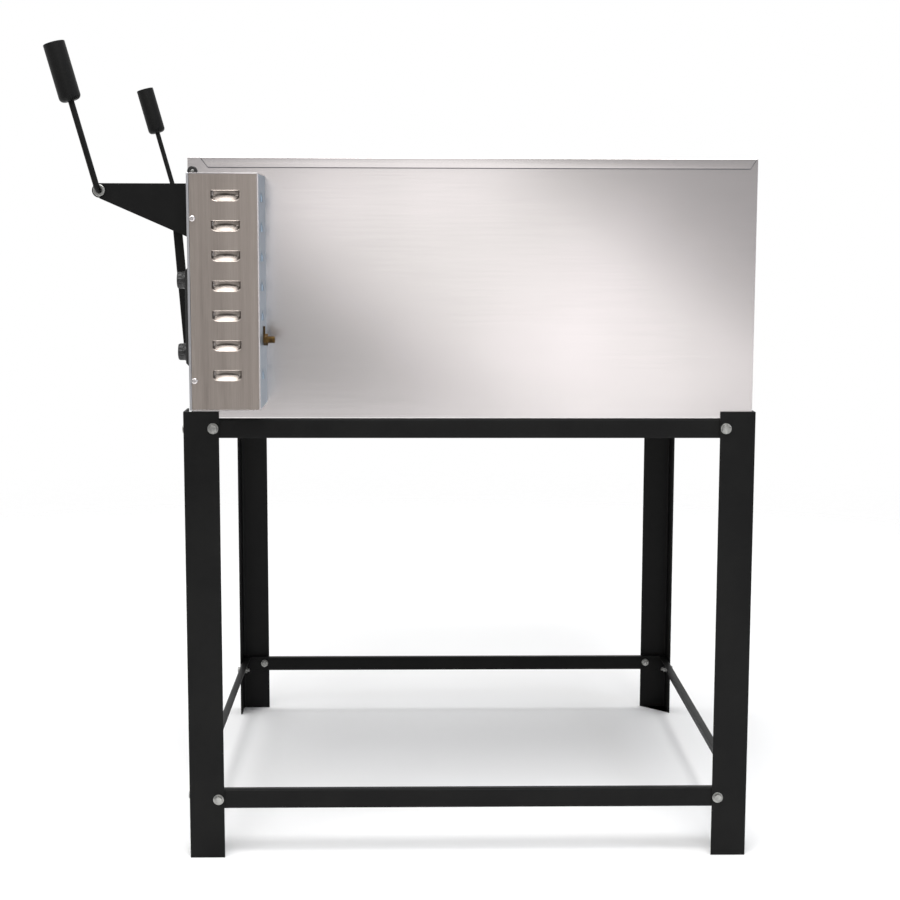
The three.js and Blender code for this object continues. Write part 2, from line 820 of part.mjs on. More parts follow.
const lean = [0, -Math.sin(ROD.lean), Math.cos(ROD.lean)];
const alongRod = (distance) => [
  ROD.x,
  PIVOT.y + lean[1] * distance,
  PIVOT.z + lean[2] * distance,
];

/** The rod that carries a counterweight, round at its lower end. */
function weightRod() {
  const end = WEIGHT.start - GAP;
  const poleForwards = new THREE.Quaternion().setFromAxisAngle(new THREE.Vector3(1, 0, 0), Math.PI / 2);
  const heel = new THREE.SphereGeometry(ROD.radius, SIDES.small, SIDES.small / 2)
    .applyQuaternion(poleForwards)
    .translate(...alongRod(0));
  return join(bar(alongRod(0), alongRod(end), ROD.radius, SIDES.small), heel);
}

/** A cylindrical counterweight, rounded where the rod enters it. */
function counterweight() {
  const { start, length, radius, rounding } = WEIGHT;
  const steps = 4;
  const arc = Array.from({ length: steps + 1 }, (_, i) => {
    const turn = (i / steps) * (Math.PI / 2);
    return [radius - rounding + rounding * Math.sin(turn), rounding - rounding * Math.cos(turn)];
  });
  const profile = [[0, 0], ...arc, [radius, length], [0, length]];
  return turned(profile, alongRod(start), lean, SIDES.fine);
}

/** The arm that turns with the shaft and lifts the door's pin in its slot. */
function liftArm() {
  const { x, thick, half, hub, web, drop, slotNear, slotFar, slotHalf } = ARM;
  const tip = slotFar + web;
  const shape = new THREE.Shape();
  shape.absarc(0, 0, half, Math.PI / 2, Math.PI * 1.5, false);
  shape.lineTo(tip - half, -half);
  shape.absarc(tip - half, 0, half, -Math.PI / 2, Math.PI / 2, false);
  const slot = new THREE.Path();
  slot.absarc(slotNear + slotHalf, 0, slotHalf, Math.PI / 2, Math.PI * 1.5, false);
  slot.absarc(slotFar - slotHalf, 0, slotHalf, -Math.PI / 2, Math.PI / 2, false);
  shape.holes.push(slot);
  const plate = extrudeX(shape, [x - thick / 2, x + thick / 2], SIDES.medium / 2);
  const collar = bar([x, 0, 0], [x + hub, 0, 0], half);
  const bore = bar([x - thick, 0, 0], [x + hub + PAST, 0, 0], PIVOT.shaft + GAP);
  return cut(join(plate, collar), bore)
    .applyQuaternion(new THREE.Quaternion().setFromAxisAngle(new THREE.Vector3(1, 0, 0), -drop))
    .translate(0, PIVOT.y, PIVOT.z);
}

/** The strip that hangs the door from its arm, with the headed pin that runs in the arm's slot. */
function liftBar() {
  const { x, thick, width, topZ, bottomZ, lugZ, pinY, pinZ, slope } = LIFT_BAR;
  const { radius, head, headFrom, headTo } = LIFT_PIN;
  const centre = (z) => pinY + (pinZ - z) * slope;
  const face = DOOR.front - GAP;
  const outline = [
    [centre(topZ) - width / 2, topZ],
    [centre(bottomZ) - width / 2, bottomZ],
    [face, bottomZ],
    [face, lugZ],
    [centre(lugZ) + width / 2, lugZ],
    [centre(topZ) + width / 2, topZ],
  ];
  return join(
    plateX(outline, [x - thick / 2, x + thick / 2]),
    bar([x, pinY, pinZ], [headTo, pinY, pinZ], radius, SIDES.small),
    bar([headFrom, pinY, pinZ], [headTo, pinY, pinZ], head, SIDES.small),
  );
}

const doorSpan = [-STAND.width - DOOR.right, DOOR.right];

/** The door's skin: a shallow tray, open at the back. */
function doorSkin() {
  const { front, skin, depth, bottom, top } = DOOR;
  const tray = block(doorSpan, [front, front + depth], [bottom, top]);
  const [left, right] = doorSpan;
  const pocket = block(
    [left + skin, right - skin],
    [front + skin, front + depth + PAST],
    [bottom + skin, top - skin],
  );
  const { x, z, bore } = THERMOMETER;
  return cut(tray, pocket, bar([x, front - PAST, z], [x, front + skin + PAST, z], bore));
}

/** The sheet that closes the door's back. */
function doorBack() {
  const { front, depth, bottom, top, backSheet } = DOOR;
  const y = front + depth + GAP;
  return block(doorSpan, [y, y + backSheet], [bottom, top]);
}

/** A bow handle: a bar held off the door by two posts. */
function doorHandle() {
  const { half, y, z, radius, post, postRadius } = HANDLE;
  const face = DOOR.front - GAP;
  const posts = [MIDDLE - post, MIDDLE + post].map((x) =>
    bar([x, y, z], [x, face, z], postRadius, SIDES.small),
  );
  return join(bar([MIDDLE - half, y, z], [MIDDLE + half, y, z], radius, SIDES.small), ...posts);
}

/** The dial thermometer's case: a shallow cup open at the front, with its probe through the skin. */
function thermometerCase() {
  const { x, z, radius, front, rim, stem, probe } = THERMOMETER;
  const back = DOOR.front - GAP - front;
  const profile = [
    [0, back - rim],
    [radius - rim, back - rim],
    [radius - rim, 0],
    [radius, 0],
    [radius, back],
    [stem, back],
    [stem, back + probe],
    [0, back + probe],
  ];
  return turned(profile, [x, front, z], [0, 1, 0], SIDES.fine);
}

/** The pointer, over its dial, with a round hub. */
function thermometerNeedle() {
  const { x, z } = THERMOMETER;
  const { front, back, tip, tipHalf, tail, tailHalf, hub, hubStand } = NEEDLE;
  const outline = [
    [x - tailHalf, z - tail],
    [x + tailHalf, z - tail],
    [x + tipHalf, z + tip],
    [x - tipHalf, z + tip],
  ];
  const boss = bar([x, front - hubStand, z], [x, back + hubStand, z], hub, SIDES.small);
  return join(plateY(outline, [front, back]), boss);
}

function buildLift() {
  const lift = section("lift");
  placePair(lift, "lift_bracket", liftBracket(), BLACK);
  placePair(lift, "pivot_bush", pivotBush(), ZINC);
  const shaftEnd = ROD.x - ROD.radius - GAP;
  const shaft = bar([-STAND.width - shaftEnd, PIVOT.y, PIVOT.z], [shaftEnd, PIVOT.y, PIVOT.z], PIVOT.shaft);
  place(lift, "lever_shaft", shaft, BLACK);
  placePair(lift, "weight_rod", weightRod(), BLACK);
  placePair(lift, "counterweight", counterweight(), BLACK);
  placePair(lift, "lift_arm", liftArm(), BLACK);
}

function buildDoor() {
  const door = section("door");
  place(door, "door_skin", doorSkin(), STAINLESS);
  place(door, "door_back", doorBack(), STAINLESS);
  place(door, "door_handle", doorHandle(), BLACK);
  placePair(door, "lift_bar", liftBar(), BLACK);
  place(door, "thermometer_case", thermometerCase(), STAINLESS);
  place(door, "thermometer_needle", thermometerNeedle(), BLACK);
}

buildStand();
buildCasing();
buildChamber();
buildGasBox();
buildLift();
buildDoor();

export default oven;
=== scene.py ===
"""The looks of a gas deck oven on a bolted angle stand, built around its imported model.

Lengths are metres in the model's own frame: +Z up, the door on -Y and the gas box on +X.
"""

import logging
import math
from collections.abc import Callable
from dataclasses import dataclass, field
from enum import Enum

import bmesh
import bpy
import numpy as np
from mathutils import Matrix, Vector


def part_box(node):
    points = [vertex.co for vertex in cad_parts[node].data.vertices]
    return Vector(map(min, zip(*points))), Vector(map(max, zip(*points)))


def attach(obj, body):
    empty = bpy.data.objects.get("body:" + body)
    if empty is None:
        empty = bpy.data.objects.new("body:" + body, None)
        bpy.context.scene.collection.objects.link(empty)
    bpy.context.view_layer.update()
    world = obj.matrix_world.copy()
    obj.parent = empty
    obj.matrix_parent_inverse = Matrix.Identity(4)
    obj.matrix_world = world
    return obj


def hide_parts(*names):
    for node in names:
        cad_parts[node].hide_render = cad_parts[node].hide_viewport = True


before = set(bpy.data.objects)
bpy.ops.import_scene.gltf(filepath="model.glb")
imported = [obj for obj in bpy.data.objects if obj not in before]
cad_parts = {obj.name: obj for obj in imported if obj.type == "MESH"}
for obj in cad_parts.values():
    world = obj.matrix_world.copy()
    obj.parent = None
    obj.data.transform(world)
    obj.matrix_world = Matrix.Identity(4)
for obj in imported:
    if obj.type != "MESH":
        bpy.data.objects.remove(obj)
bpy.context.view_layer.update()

log = logging.getLogger("oven")
Array = np.ndarray
Tree = bpy.types.NodeTree
Node = bpy.types.Node
Socket = bpy.types.NodeSocket
Base = Callable[[Array], tuple[Array, Array]]
Ripple = Callable[[Array, Array, Array], tuple[Array, Array]]
MM = 0.001


# ------------------------------------------------------------------ names
class Body(Enum):
    """The rigid bodies that pieces ride on."""

    OVEN = "oven"
    DOOR = "door"
    LEVER = "lever"
    LOWER_KNOB = "lower_knob"
    UPPER_KNOB = "upper_knob"
    NEEDLE = "needle"


class Slot(Enum):
    """The record's material slots."""

    BLACK = "black_powder_coat"
    POLISHED = "polished_stainless"
    BRUSHED = "brushed_stainless"
    GALVANISED = "galvanised_steel"
    BRASS = "brass"
    PLASTIC = "black_plastic"
    ZINC = "zinc_plated_steel"
    FIRECLAY = "fireclay"
    WOOL = "mineral_wool"


class Side(Enum):
    """Which side of the oven a piece is on, with the sign of its outward X."""

    RIGHT = 1
    LEFT = -1

    @property
    def word(self) -> str:
        """The side's name as the nodes spell it."""
        return self.name.lower()


class Lip(Enum):
    """Which edge of a pressed louvre is sheared open."""

    TOP = 1
    BOTTOM = -1


# --------------------------------------------------------------- materials
def linear(hex_colour: str, alpha: float = 1.0) -> tuple[float, float, float, float]:
    """Turn an sRGB hex colour to linear light.

    Each channel c becomes c/12.92 below 0.04045, else ((c + 0.055) / 1.055) to the power 2.4.

    Args:
        hex_colour: Six hex digits, such as "968d87".
        alpha: The fourth value.

    Returns:
        Linear red, green, blue and alpha.
    """
    channels = np.array([int(hex_colour[i : i + 2], 16) for i in (0, 2, 4)]) / 255
    light = np.where(channels <= 0.04045, channels / 12.92, ((channels + 0.055) / 1.055) ** 2.4)
    return (*(float(c) for c in light), alpha)


def add_node(tree: Tree, kind: str, settings: dict | None = None, inputs: dict | None = None) -> Node:
    """Add a node, with its settings and its inputs set or linked.

    Args:
        tree: The node tree to add to.
        kind: The node's type, without "ShaderNode".
        settings: Properties of the node; a key "ramp" holds a colour ramp's (place, hex) stops.
        inputs: Socket name or number to a value, or to the output socket that feeds it.

    Returns:
        The new node.
    """
    node = tree.nodes.new("ShaderNode" + kind)
    for key, value in (settings or {}).items():
        if key == "ramp":
            stops = node.color_ramp.elements
            while len(stops) < len(value):
                stops.new(0.5)
            for stop, (place, colour) in zip(stops, value):
                stop.position = place
                stop.color = linear(colour)
        else:
            setattr(node, key, value)
    for name, value in (inputs or {}).items():
        socket = node.inputs[name]
        if isinstance(value, bpy.types.NodeSocket):
            tree.links.new(value, socket)
        else:
            socket.default_value = value
    return node


def noise(tree: Tree, place: Socket, scale: float, detail: float, **more: float) -> Socket:
    """A noise pattern's value at a place; its other inputs are given by name."""
    return add_node(tree, "TexNoise", None, {"Vector": place, "Scale": scale, "Detail": detail, **more}).outputs[0]


def stretched(tree: Tree, place: Socket, scale: tuple[float, float, float]) -> Socket:
    """A place with each axis scaled, so that a pattern is drawn out along the small ones."""
    return add_node(tree, "Mapping", None, {0: place, 3: scale}).outputs[0]


def ramped(tree: Tree, value: Socket, *stops: tuple[float, str]) -> Socket:
    """The colour that a value has on a ramp of (place, hex) stops."""
    return add_node(tree, "ValToRGB", {"ramp": list(stops)}, {0: value}).outputs[0]


def glossed(
    tree: Tree, shader: Node, value: Socket, low: float, high: float, span: tuple[float, float] = (0, 1)
) -> None:
    """Make the roughness run from low to high while a value runs over a span."""
    gloss = add_node(tree, "MapRange", None, {0: value, 1: span[0], 2: span[1], 3: low, 4: high})
    tree.links.new(gloss.outputs[0], shader.inputs["Roughness"])


def bumped(tree: Tree, shader: Node, value: Socket, strength: float, depth: float) -> None:
    """Raise the surface by a value, over a depth in metres."""
    bump = add_node(tree, "Bump", None, {"Height": value, "Strength": strength, "Distance": depth})
    tree.links.new(bump.outputs[0], shader.inputs["Normal"])


@dataclass(frozen=True)
class Finish:
    """A surface finish. Its subclasses say how it was made and add its pattern."""

    title: str
    colour: str
    roughness: float
    metallic: float = 0.0

    def material(self) -> bpy.types.Material:
        """The finish's material, made once and then shared.

        Returns:
            The material.
        """
        known = bpy.data.materials.get(self.title)
        if known:
            return known
        made = bpy.data.materials.new(self.title)
        made.use_nodes = True
        made.diffuse_color = linear(self.colour)
        tree = made.node_tree
        shader = tree.nodes["Principled BSDF"]
        shader.inputs["Base Color"].default_value = linear(self.colour)
        shader.inputs["Roughness"].default_value = self.roughness
        shader.inputs["Metallic"].default_value = self.metallic
        place = add_node(tree, "TexCoord").outputs["Object"]
        self.pattern(tree, shader, place)
        return made

    def pattern(self, tree: Tree, shader: Node, place: Socket) -> None:
        """Add the finish's own pattern.

        Args:
            tree: The material's nodes.
            shader: Its Principled shader.
            place: Object coordinates in metres.
        """


@dataclass(frozen=True)
class PowderCoat(Finish):
    """Baked polyester powder on steel: satin black with a fine orange peel that breaks up its gloss."""

    peel: float = 2.2 * MM
    dust: str = "10100f"

    def pattern(self, tree: Tree, shader: Node, place: Socket) -> None:
        """A soft lumpy skin at the peel's spacing, and a faint grey cast where hands have rubbed it."""
        shader.inputs["Specular IOR Level"].default_value = 0.15
        bumped(tree, shader, noise(tree, place, 1 / self.peel, 2.0), 0.12, 0.0004)
        rub = noise(tree, place, 9.0, 5.0, Roughness=0.6)
        tint = ramped(tree, rub, (0.42, self.colour), (0.75, self.dust))
        tree.links.new(tint, shader.inputs["Base Color"])
        glossed(tree, shader, rub, self.roughness - 0.07, self.roughness + 0.1)


@dataclass(frozen=True)
class RolledStainless(Finish):
    """Bright cold-rolled stainless sheet: near mirror, softened by faint rolling lines and a slow waviness."""

    line: float = 2.5 * MM
    dull: str = "bdbab8"

    def pattern(self, tree: Tree, shader: Node, place: Socket) -> None:
        """Rolling lines stretched along Y that dull the sheet a little, and broad wiped-on marks in its tone."""
        lines = noise(tree, stretched(tree, place, (1.0, 0.02, 1.0)), 1 / self.line, 2.0)
        glossed(tree, shader, lines, self.roughness - 0.01, self.roughness + 0.01, (0.3, 0.7))
        wipe = noise(tree, place, 2.5, 2.0)
        tint = ramped(tree, wipe, (0.35, self.colour), (0.9, self.dull))
        tree.links.new(tint, shader.inputs["Base Color"])


@dataclass(frozen=True)
class BrushedStainless(Finish):
    """Stainless sheet brushed with grit 180 belts: short upright scratches and a warm, streaky sheen."""

    scratch: float = 0.9 * MM
    length: float = 60.0
    pale: str = "a39a93"

    def pattern(self, tree: Tree, shader: Node, place: Socket) -> None:
        """Scratches at the grit's spacing, stretched upwards, colouring and grooving the sheet."""
        upright = stretched(tree, place, (1.0, 1.0, 1.0 / self.length))
        grain = noise(tree, upright, 1 / self.scratch, 4.0, Roughness=0.7)
        band = noise(tree, upright, 90.0, 3.0)
        both = add_node(tree, "Mix", {"data_type": "FLOAT"}, {0: 0.4, 2: grain, 3: band}).outputs[0]
        tint = ramped(tree, both, (0.3, self.colour), (0.7, self.pale))
        tree.links.new(tint, shader.inputs["Base Color"])
        glossed(tree, shader, both, self.roughness - 0.06, self.roughness + 0.08, (0.3, 0.7))
        bumped(tree, shader, grain, 0.18, 0.0002)


@dataclass(frozen=True)
class Galvanised(Finish):
    """Hot-dip zinc on steel sheet: dull spangle, browned where the burners heat it."""

    spangle: float = 9 * MM
    warm: str = "6d5f52"

    def pattern(self, tree: Tree, shader: Node, place: Socket) -> None:
        """Crystals of one grey each at the spangle's size, with brown heat clouds over them."""
        crystal = add_node(tree, "TexVoronoi", None, {"Vector": place, "Scale": 1 / self.spangle})
        heat = noise(tree, place, 6.0, 5.0)
        shade = ramped(tree, crystal.outputs["Color"], (0.0, self.colour), (1.0, "98989a"))
        mask = add_node(tree, "MapRange", None, {0: heat, 1: 0.45, 2: 0.75}).outputs[0]
        mixed = add_node(tree, "Mix", {"data_type": "RGBA"}, {0: mask, 6: shade, 7: linear(self.warm)})
        tree.links.new(mixed.outputs[2], shader.inputs["Base Color"])
        glossed(tree, shader, crystal.outputs["Distance"], self.roughness, self.roughness + 0.2)


@dataclass(frozen=True)
class MachinedMetal(Finish):
    """Turned or plated metal: bright, with tarnish in soft patches and very fine tool lines."""

    patch: float = 14 * MM
    tarnish: str = "77777a"

    def pattern(self, tree: Tree, shader: Node, place: Socket) -> None:
        """Tarnish clouds at the patch size that darken and dull the metal together."""
        cloud = noise(tree, place, 1 / self.patch, 6.0, Roughness=0.6)
        tint = ramped(tree, cloud, (0.4, self.colour), (0.75, self.tarnish))
        tree.links.new(tint, shader.inputs["Base Color"])
        glossed(tree, shader, cloud, self.roughness - 0.08, self.roughness + 0.15, (0.35, 0.75))
        bumped(tree, shader, noise(tree, place, 2600.0, 2.0), 0.1, 0.0001)


@dataclass(frozen=True)
class MouldedPlastic(Finish):
    """Injection-moulded phenolic or nylon: black with a fine spark-eroded texture."""

    grain: float = 0.7 * MM

    def pattern(self, tree: Tree, shader: Node, place: Socket) -> None:
        """A fine pebbled bump at the grain's size, and a slow change of gloss."""
        bumped(tree, shader, noise(tree, place, 1 / self.grain, 1.0), 0.15, 0.0002)
        slow = noise(tree, place, 40.0, 2.0)
        glossed(tree, shader, slow, self.roughness - 0.08, self.roughness + 0.08)


@dataclass(frozen=True)
class FiredClay(Finish):
    """Pressed and fired refractory: sandy, pored, and scorched where food has sat."""

    grit: float = 2.4 * MM
    scorch: str = "6b5238"

    def pattern(self, tree: Tree, shader: Node, place: Socket) -> None:
        """Grit speckles, open pores in the surface, and broad scorched rounds."""
        speck = noise(tree, place, 1 / self.grit, 8.0)
        burnt = noise(tree, place, 4.5, 4.0)
        clay = ramped(tree, speck, (0.3, "a08c6f"), (0.7, self.colour))
        mask = add_node(tree, "MapRange", None, {0: burnt, 1: 0.5, 2: 0.8}).outputs[0]
        mixed = add_node(tree, "Mix", {"data_type": "RGBA"}, {0: mask, 6: clay, 7: linear(self.scorch)})
        tree.links.new(mixed.outputs[2], shader.inputs["Base Color"])
        bumped(tree, shader, speck, 0.5, 0.001)


@dataclass(frozen=True)
class Fibre(Finish):
    """Needled mineral wool: matt, matted fibres."""

    strand: float = 1.2 * MM

    def pattern(self, tree: Tree, shader: Node, place: Socket) -> None:
        """Drawn-out noise for the strands, deep enough to look loose."""
        strands = noise(tree, stretched(tree, place, (0.25, 1.0, 1.0)), 1 / self.strand, 5.0, Distortion=1.5)
        tint = ramped(tree, strands, (0.3, "a89f8c"), (0.7, self.colour))
        tree.links.new(tint, shader.inputs["Base Color"])
        bumped(tree, shader, strands, 0.9, 0.002)


@dataclass(frozen=True)
class Glazed(Finish):
    """Clear float glass over the dial."""

    def pattern(self, tree: Tree, shader: Node, place: Socket) -> None:
        """Let light through with the usual index of soda-lime glass."""
        shader.inputs["Transmission Weight"].default_value = 1.0
        shader.inputs["IOR"].default_value = 1.5


@dataclass(frozen=True)
class StudioFloor(Finish):
    """Matt white paint on a studio floor, which melts into the white room at a distance."""

    near: float = 1.6
    far: float = 4.5

    def pattern(self, tree: Tree, shader: Node, place: Socket) -> None:
        """Opacity that falls from one to none between the near and the far distance from the middle."""
        away = add_node(tree, "VectorMath", {"operation": "LENGTH"}, {0: place})
        limits = {0: away.outputs["Value"], 1: self.near, 2: self.far, 3: 1.0, 4: 0.0}
        fade = add_node(tree, "MapRange", {"interpolation_type": "SMOOTHSTEP"}, limits)
        tree.links.new(fade.outputs[0], shader.inputs["Alpha"])


BLACK = PowderCoat("Polyester powder coat, satin black", "080808", 0.46)
POLISHED = RolledStainless("Stainless sheet, bright rolled", "cfcaca", 0.24, 1.0)
LID = RolledStainless("Stainless sheet, lid", "b6b6b9", 0.3, 1.0, 2.5 * MM, "adadb0")
BRUSHED = BrushedStainless("Stainless sheet, warm brushed", "8e857f", 0.36, 1.0)
FRONT = BrushedStainless("Stainless sheet, front brushed", "9f9e9d", 0.34, 1.0, 0.9 * MM, 60.0, "a9a8a7")
# Brushed stainless with a blue base colour and blue streaks: a painted reflection of the cool rear light and the
# polished side wall.
COOL_REFLECTION = BrushedStainless("Stainless sheet, cool brushed", "8b9aa8", 0.4, 1.0, 0.9 * MM, 60.0, "a3b0bc")
GALVANISED = Galvanised("Galvanised steel, heat marked", "77777a", 0.45, 0.9)
BRASS = MachinedMetal("Brass, aged", "66502f", 0.36, 1.0, 7 * MM, "2f2116")
PLASTIC = MouldedPlastic("Phenolic, moulded black", "121212", 0.38)
# A dark grey bead that paints the shadow line in the gap under the lid's flanges.
SHADOW_BEAD = MouldedPlastic("Silicone bead, grey", "4c4c50", 0.5)
ZINC = MachinedMetal("Zinc plate, bright", "a8a8a5", 0.34, 1.0, 12 * MM, "6e6e6c")
CLAY = FiredClay("Fireclay tile", "c2b092", 0.9)
WOOL = Fibre("Mineral wool", "d8d2c4", 1.0)
ENAMEL = MouldedPlastic("Dial, baked white enamel", "e8e6e0", 0.3)
GLASS = Glazed("Float glass", "ffffff", 0.02)


# ---------------------------------------------------------------- surfaces
@dataclass
class Surface:
    """Points and faces of a surface, as whole arrays."""

    points: Array
    faces: list[tuple[int, ...]]


def together(parts: list[Surface]) -> Surface:
    """Put several surfaces into one, each face list counted on from the points before it.

    Args:
        parts: The surfaces.

    Returns:
        One surface with all of them.
    """
    starts = np.cumsum([0] + [len(p.points) for p in parts[:-1]])
    faces = [tuple(int(i) + start for i in face) for part, start in zip(parts, starts) for face in part.faces]
    return Surface(np.vstack([p.points for p in parts]), faces)


def grid_faces(rows: int, columns: int, wrap: bool = False) -> Array:
    """Quads of a grid of points counted row by row.

    Args:
        rows: Rows of points.
        columns: Points in a row.
        wrap: Whether each row closes on itself.

    Returns:
        An (n, 4) array of point numbers.
    """
    across = columns if wrap else columns - 1
    i, j = np.meshgrid(np.arange(rows - 1), np.arange(across), indexing="ij")
    k = (j + 1) % columns
    near, far = i * columns, (i + 1) * columns
    return np.stack([near + j, near + k, far + k, far + j], -1).reshape(-1, 4)


def rounded(corners: list[tuple[float, float]], radius: float | Array, steps: int = 4) -> Array:
    """Round every corner of a closed outline.

    Each corner is replaced by a quadratic curve that starts and ends a radius away along its two sides and has
    the corner as its control point.

    Args:
        corners: The outline's corners.
        radius: How far from the corner the rounding starts: one length, or one for each corner.
        steps: Segments in a rounding.

    Returns:
        The new outline, one row a point.
    """
    p = np.array(corners, float)
    before = np.roll(p, 1, 0) - p
    after = np.roll(p, -1, 0) - p
    run_in, run_out = np.linalg.norm(before, axis=1), np.linalg.norm(after, axis=1)
    reach = np.minimum(radius, 0.45 * np.minimum(run_in, run_out))
    start = p + before / run_in[:, None] * reach[:, None]
    end = p + after / run_out[:, None] * reach[:, None]
    t = np.linspace(0, 1, steps + 1)[None, :, None]
    curve = (1 - t) ** 2 * start[:, None] + 2 * t * (1 - t) * p[:, None] + t**2 * end[:, None]
    return curve.reshape(-1, 2)


def circle(radius: float, sides: int = 32) -> Array:
    """A circle's points, anticlockwise: radius times cosine and sine of even turns."""
    turn = np.linspace(0, 2 * np.pi, sides, endpoint=False)
    return radius * np.stack([np.cos(turn), np.sin(turn)], -1)


def carried(profile: Array, path: Array, normal: Array, capped: bool = True) -> Surface:
    """Carry a closed profile along a flat path.

    At each point of the path the profile's first axis lies along the plane's normal crossed with the path's
    direction, and its second axis along the normal.

    Args:
        profile: (n, 2) outline.
        path: (m, 3) points of a curve in one plane.
        normal: The plane's unit normal.
        capped: Whether the two ends are closed.

    Returns:
        The tube's surface.
    """
    path = np.asarray(path, float)
    normal = np.asarray(normal, float)
    along = np.gradient(path, axis=0)
    along /= np.linalg.norm(along, axis=1)[:, None]
    side = np.cross(normal, along)
    points = path[:, None] + profile[None, :, :1] * side[:, None] + profile[None, :, 1:] * normal
    count = len(profile)
    faces = [tuple(f) for f in grid_faces(len(path), count, wrap=True)]
    if capped:
        faces.append(tuple(range(count)))
        faces.append(tuple(range((len(path) - 1) * count, len(path) * count)))
    return Surface(points.reshape(-1, 3), faces)


class Axis(Enum):
    """The axis that a straight profile is carried along, with the two axes that its points are given in."""

    X = (0, 1, 2)
    Y = (1, 0, 2)
    Z = (2, 0, 1)


def prism(outline: Array, axis: Axis, start: float, end: float) -> Surface:
    """Carry an outline straight along an axis, closed at both ends.

    Args:
        outline: (n, 2) points in the other two axes, in X, Y, Z order.
        axis: The axis it runs along.
        start: Where it starts on that axis.
        end: Where it ends.

    Returns:
        The prism's surface.
    """
    along, first, second = axis.value
    count = len(outline)
    points = np.zeros((2, count, 3))
    points[:, :, first] = outline[:, 0]
    points[:, :, second] = outline[:, 1]
    points[0, :, along] = start
    points[1, :, along] = end
    faces = [tuple(f) for f in grid_faces(2, count, wrap=True)]
    faces += [tuple(range(count)), tuple(range(count, 2 * count))]
    return Surface(points.reshape(-1, 3), faces)


def ringed(outer: Array, inner: Array, axis: Axis, start: float, end: float) -> Surface:
    """A flat plate between an outer and an inner outline of as many points, with four grids round it.

    Args:
        outer: (n, 2) outer outline.
        inner: (n, 2) hole outline, point for point beside the outer one.
        axis: The plate's thin axis.
        start: Its first face.
        end: Its second face.

    Returns:
        The closed plate.
    """
    along, first, second = axis.value
    loops = np.zeros((4, len(outer), 3))
    for row, (outline, place) in enumerate([(outer, start), (outer, end), (inner, end), (inner, start)]):
        loops[row, :, first] = outline[:, 0]
        loops[row, :, second] = outline[:, 1]
        loops[row, :, along] = place
    count = len(outer)
    closed = np.concatenate([loops, loops[:1]])
    faces = grid_faces(5, count, wrap=True) % (4 * count)
    return Surface(closed[:4].reshape(-1, 3), [tuple(f) for f in faces])


def spun(
    profile: list[tuple[float, float]], origin: Array, axis: Array, sides: int = 48, ripple: Ripple | None = None
) -> Surface:
    """Turn a profile about an axis.

    A point (r, h) goes to origin + h * axis + r * (cos a * u + sin a * v), where u and v are square to the axis.
    Points with r = 0 become one pole.

    Args:
        profile: (radius, height) points.
        origin: The axis's foot.
        axis: Its direction.
        sides: Steps of the turn.
        ripple: Optional function of (radius, height, angle) arrays that gives the new radius and height.

    Returns:
        The turned surface.
    """
    axis = np.asarray(axis, float) / np.linalg.norm(axis)
    helper = np.array([0.0, 0.0, 1.0]) if abs(axis[2]) < 0.9 else np.array([1.0, 0.0, 0.0])
    u = np.cross(helper, axis)
    u /= np.linalg.norm(u)
    v = np.cross(axis, u)
    r, h = np.array(profile, float).T
    angle = np.linspace(0, 2 * np.pi, sides, endpoint=False)
    radius = np.repeat(r[:, None], sides, 1)
    height = np.repeat(h[:, None], sides, 1)
    if ripple is not None:
        radius, height = ripple(radius, height, angle[None, :])
    ring = np.cos(angle)[None, :, None] * u + np.sin(angle)[None, :, None] * v
    points = np.asarray(origin, float) + height[..., None] * axis + radius[..., None] * ring
    return Surface(points.reshape(-1, 3), [tuple(f) for f in grid_faces(len(profile), sides, wrap=True)])


@dataclass(frozen=True)
class Pressing:
    """One louvre pressed in a sheet: a bulge that falls away from a sheared lip."""

    across: float
    up: float
    width: float
    height: float
    depth: float
    lip: Lip

    def lines(self) -> tuple[Array, Array]:
        """The grid lines it needs across and up, closest at its ends, at its lip and just outside it.

        Returns:
            The lines across and the lines up.
        """
        half, tall, edge = self.width / 2, self.height / 2, 0.4 * MM
        bend = np.sin(np.linspace(-np.pi / 2, np.pi / 2, 33))
        lip = self.up + self.lip.value * tall
        slit = lip + self.lip.value * np.array([0.02, 0.5, 1.0, 1.6, 2.0]) * MM
        rise = np.linspace(self.up - tall, self.up + tall, 17)
        closed = self.up - self.lip.value * (tall + edge)
        across = np.concatenate([[-half - edge], half * bend, [half + edge]])
        return self.across + across, np.concatenate([[closed], rise, slit])

    def bulge(self, u: Array, v: Array) -> Array:
        """How far the sheet stands out at (u, v).

        With s from -1 to 1 across and t from 0 at the closed edge to 1 at the lip, the depth is
        (1 - s^8)^(1/2) * (1 - (1 - t')^1.25). There t' rises from 0 to 1 between 0.35 s^6 and 0.78 - 0.3 s^2, so that
        the lower corners are round and the ramp's top is arched. Past the lip the sheet is rolled out by half a
        millimetre, which falls off as a square over 1.6 mm.

        Args:
            u: Places along the sheet.
            v: Heights up it.

        Returns:
            The depth at each place.
        """
        s = 2 * (u - self.across) / self.width
        t = 0.5 + self.lip.value * (v - self.up) / self.height
        across = np.clip(np.abs(s), 0, 1)
        inside = (np.abs(s) <= 1) & (t >= 0) & (t <= 1 + 1e-6)
        start = 0.35 * across**6
        eased = np.clip((t - start) / (0.78 - 0.3 * across**2 - start), 0, 1)
        ends = np.sqrt(1 - across**8)
        past = self.lip.value * (v - self.up) - self.height / 2
        fall = np.clip(1 - past / (1.6 * MM), 0, 1) ** 2 * (past > 1e-6) * (np.abs(s) <= 1)
        return np.where(inside, self.depth * ends * (1 - (1 - eased) ** 1.25), 0.5 * MM * fall * ends)

    def mouth(self, u: Array, v: Array) -> Array:
        """Whether a face with its middle at (u, v) is the open slit past the lip.

        Args:
            u: Places along the sheet.
            v: Heights up it.

        Returns:
            True where the face is left out.
        """
        edge = self.up + self.lip.value * self.height / 2
        past = self.lip.value * (v - edge)
        return (np.abs(u - self.across) < self.width / 2 * 0.985) & (past > 0) & (past < 0.02 * MM)


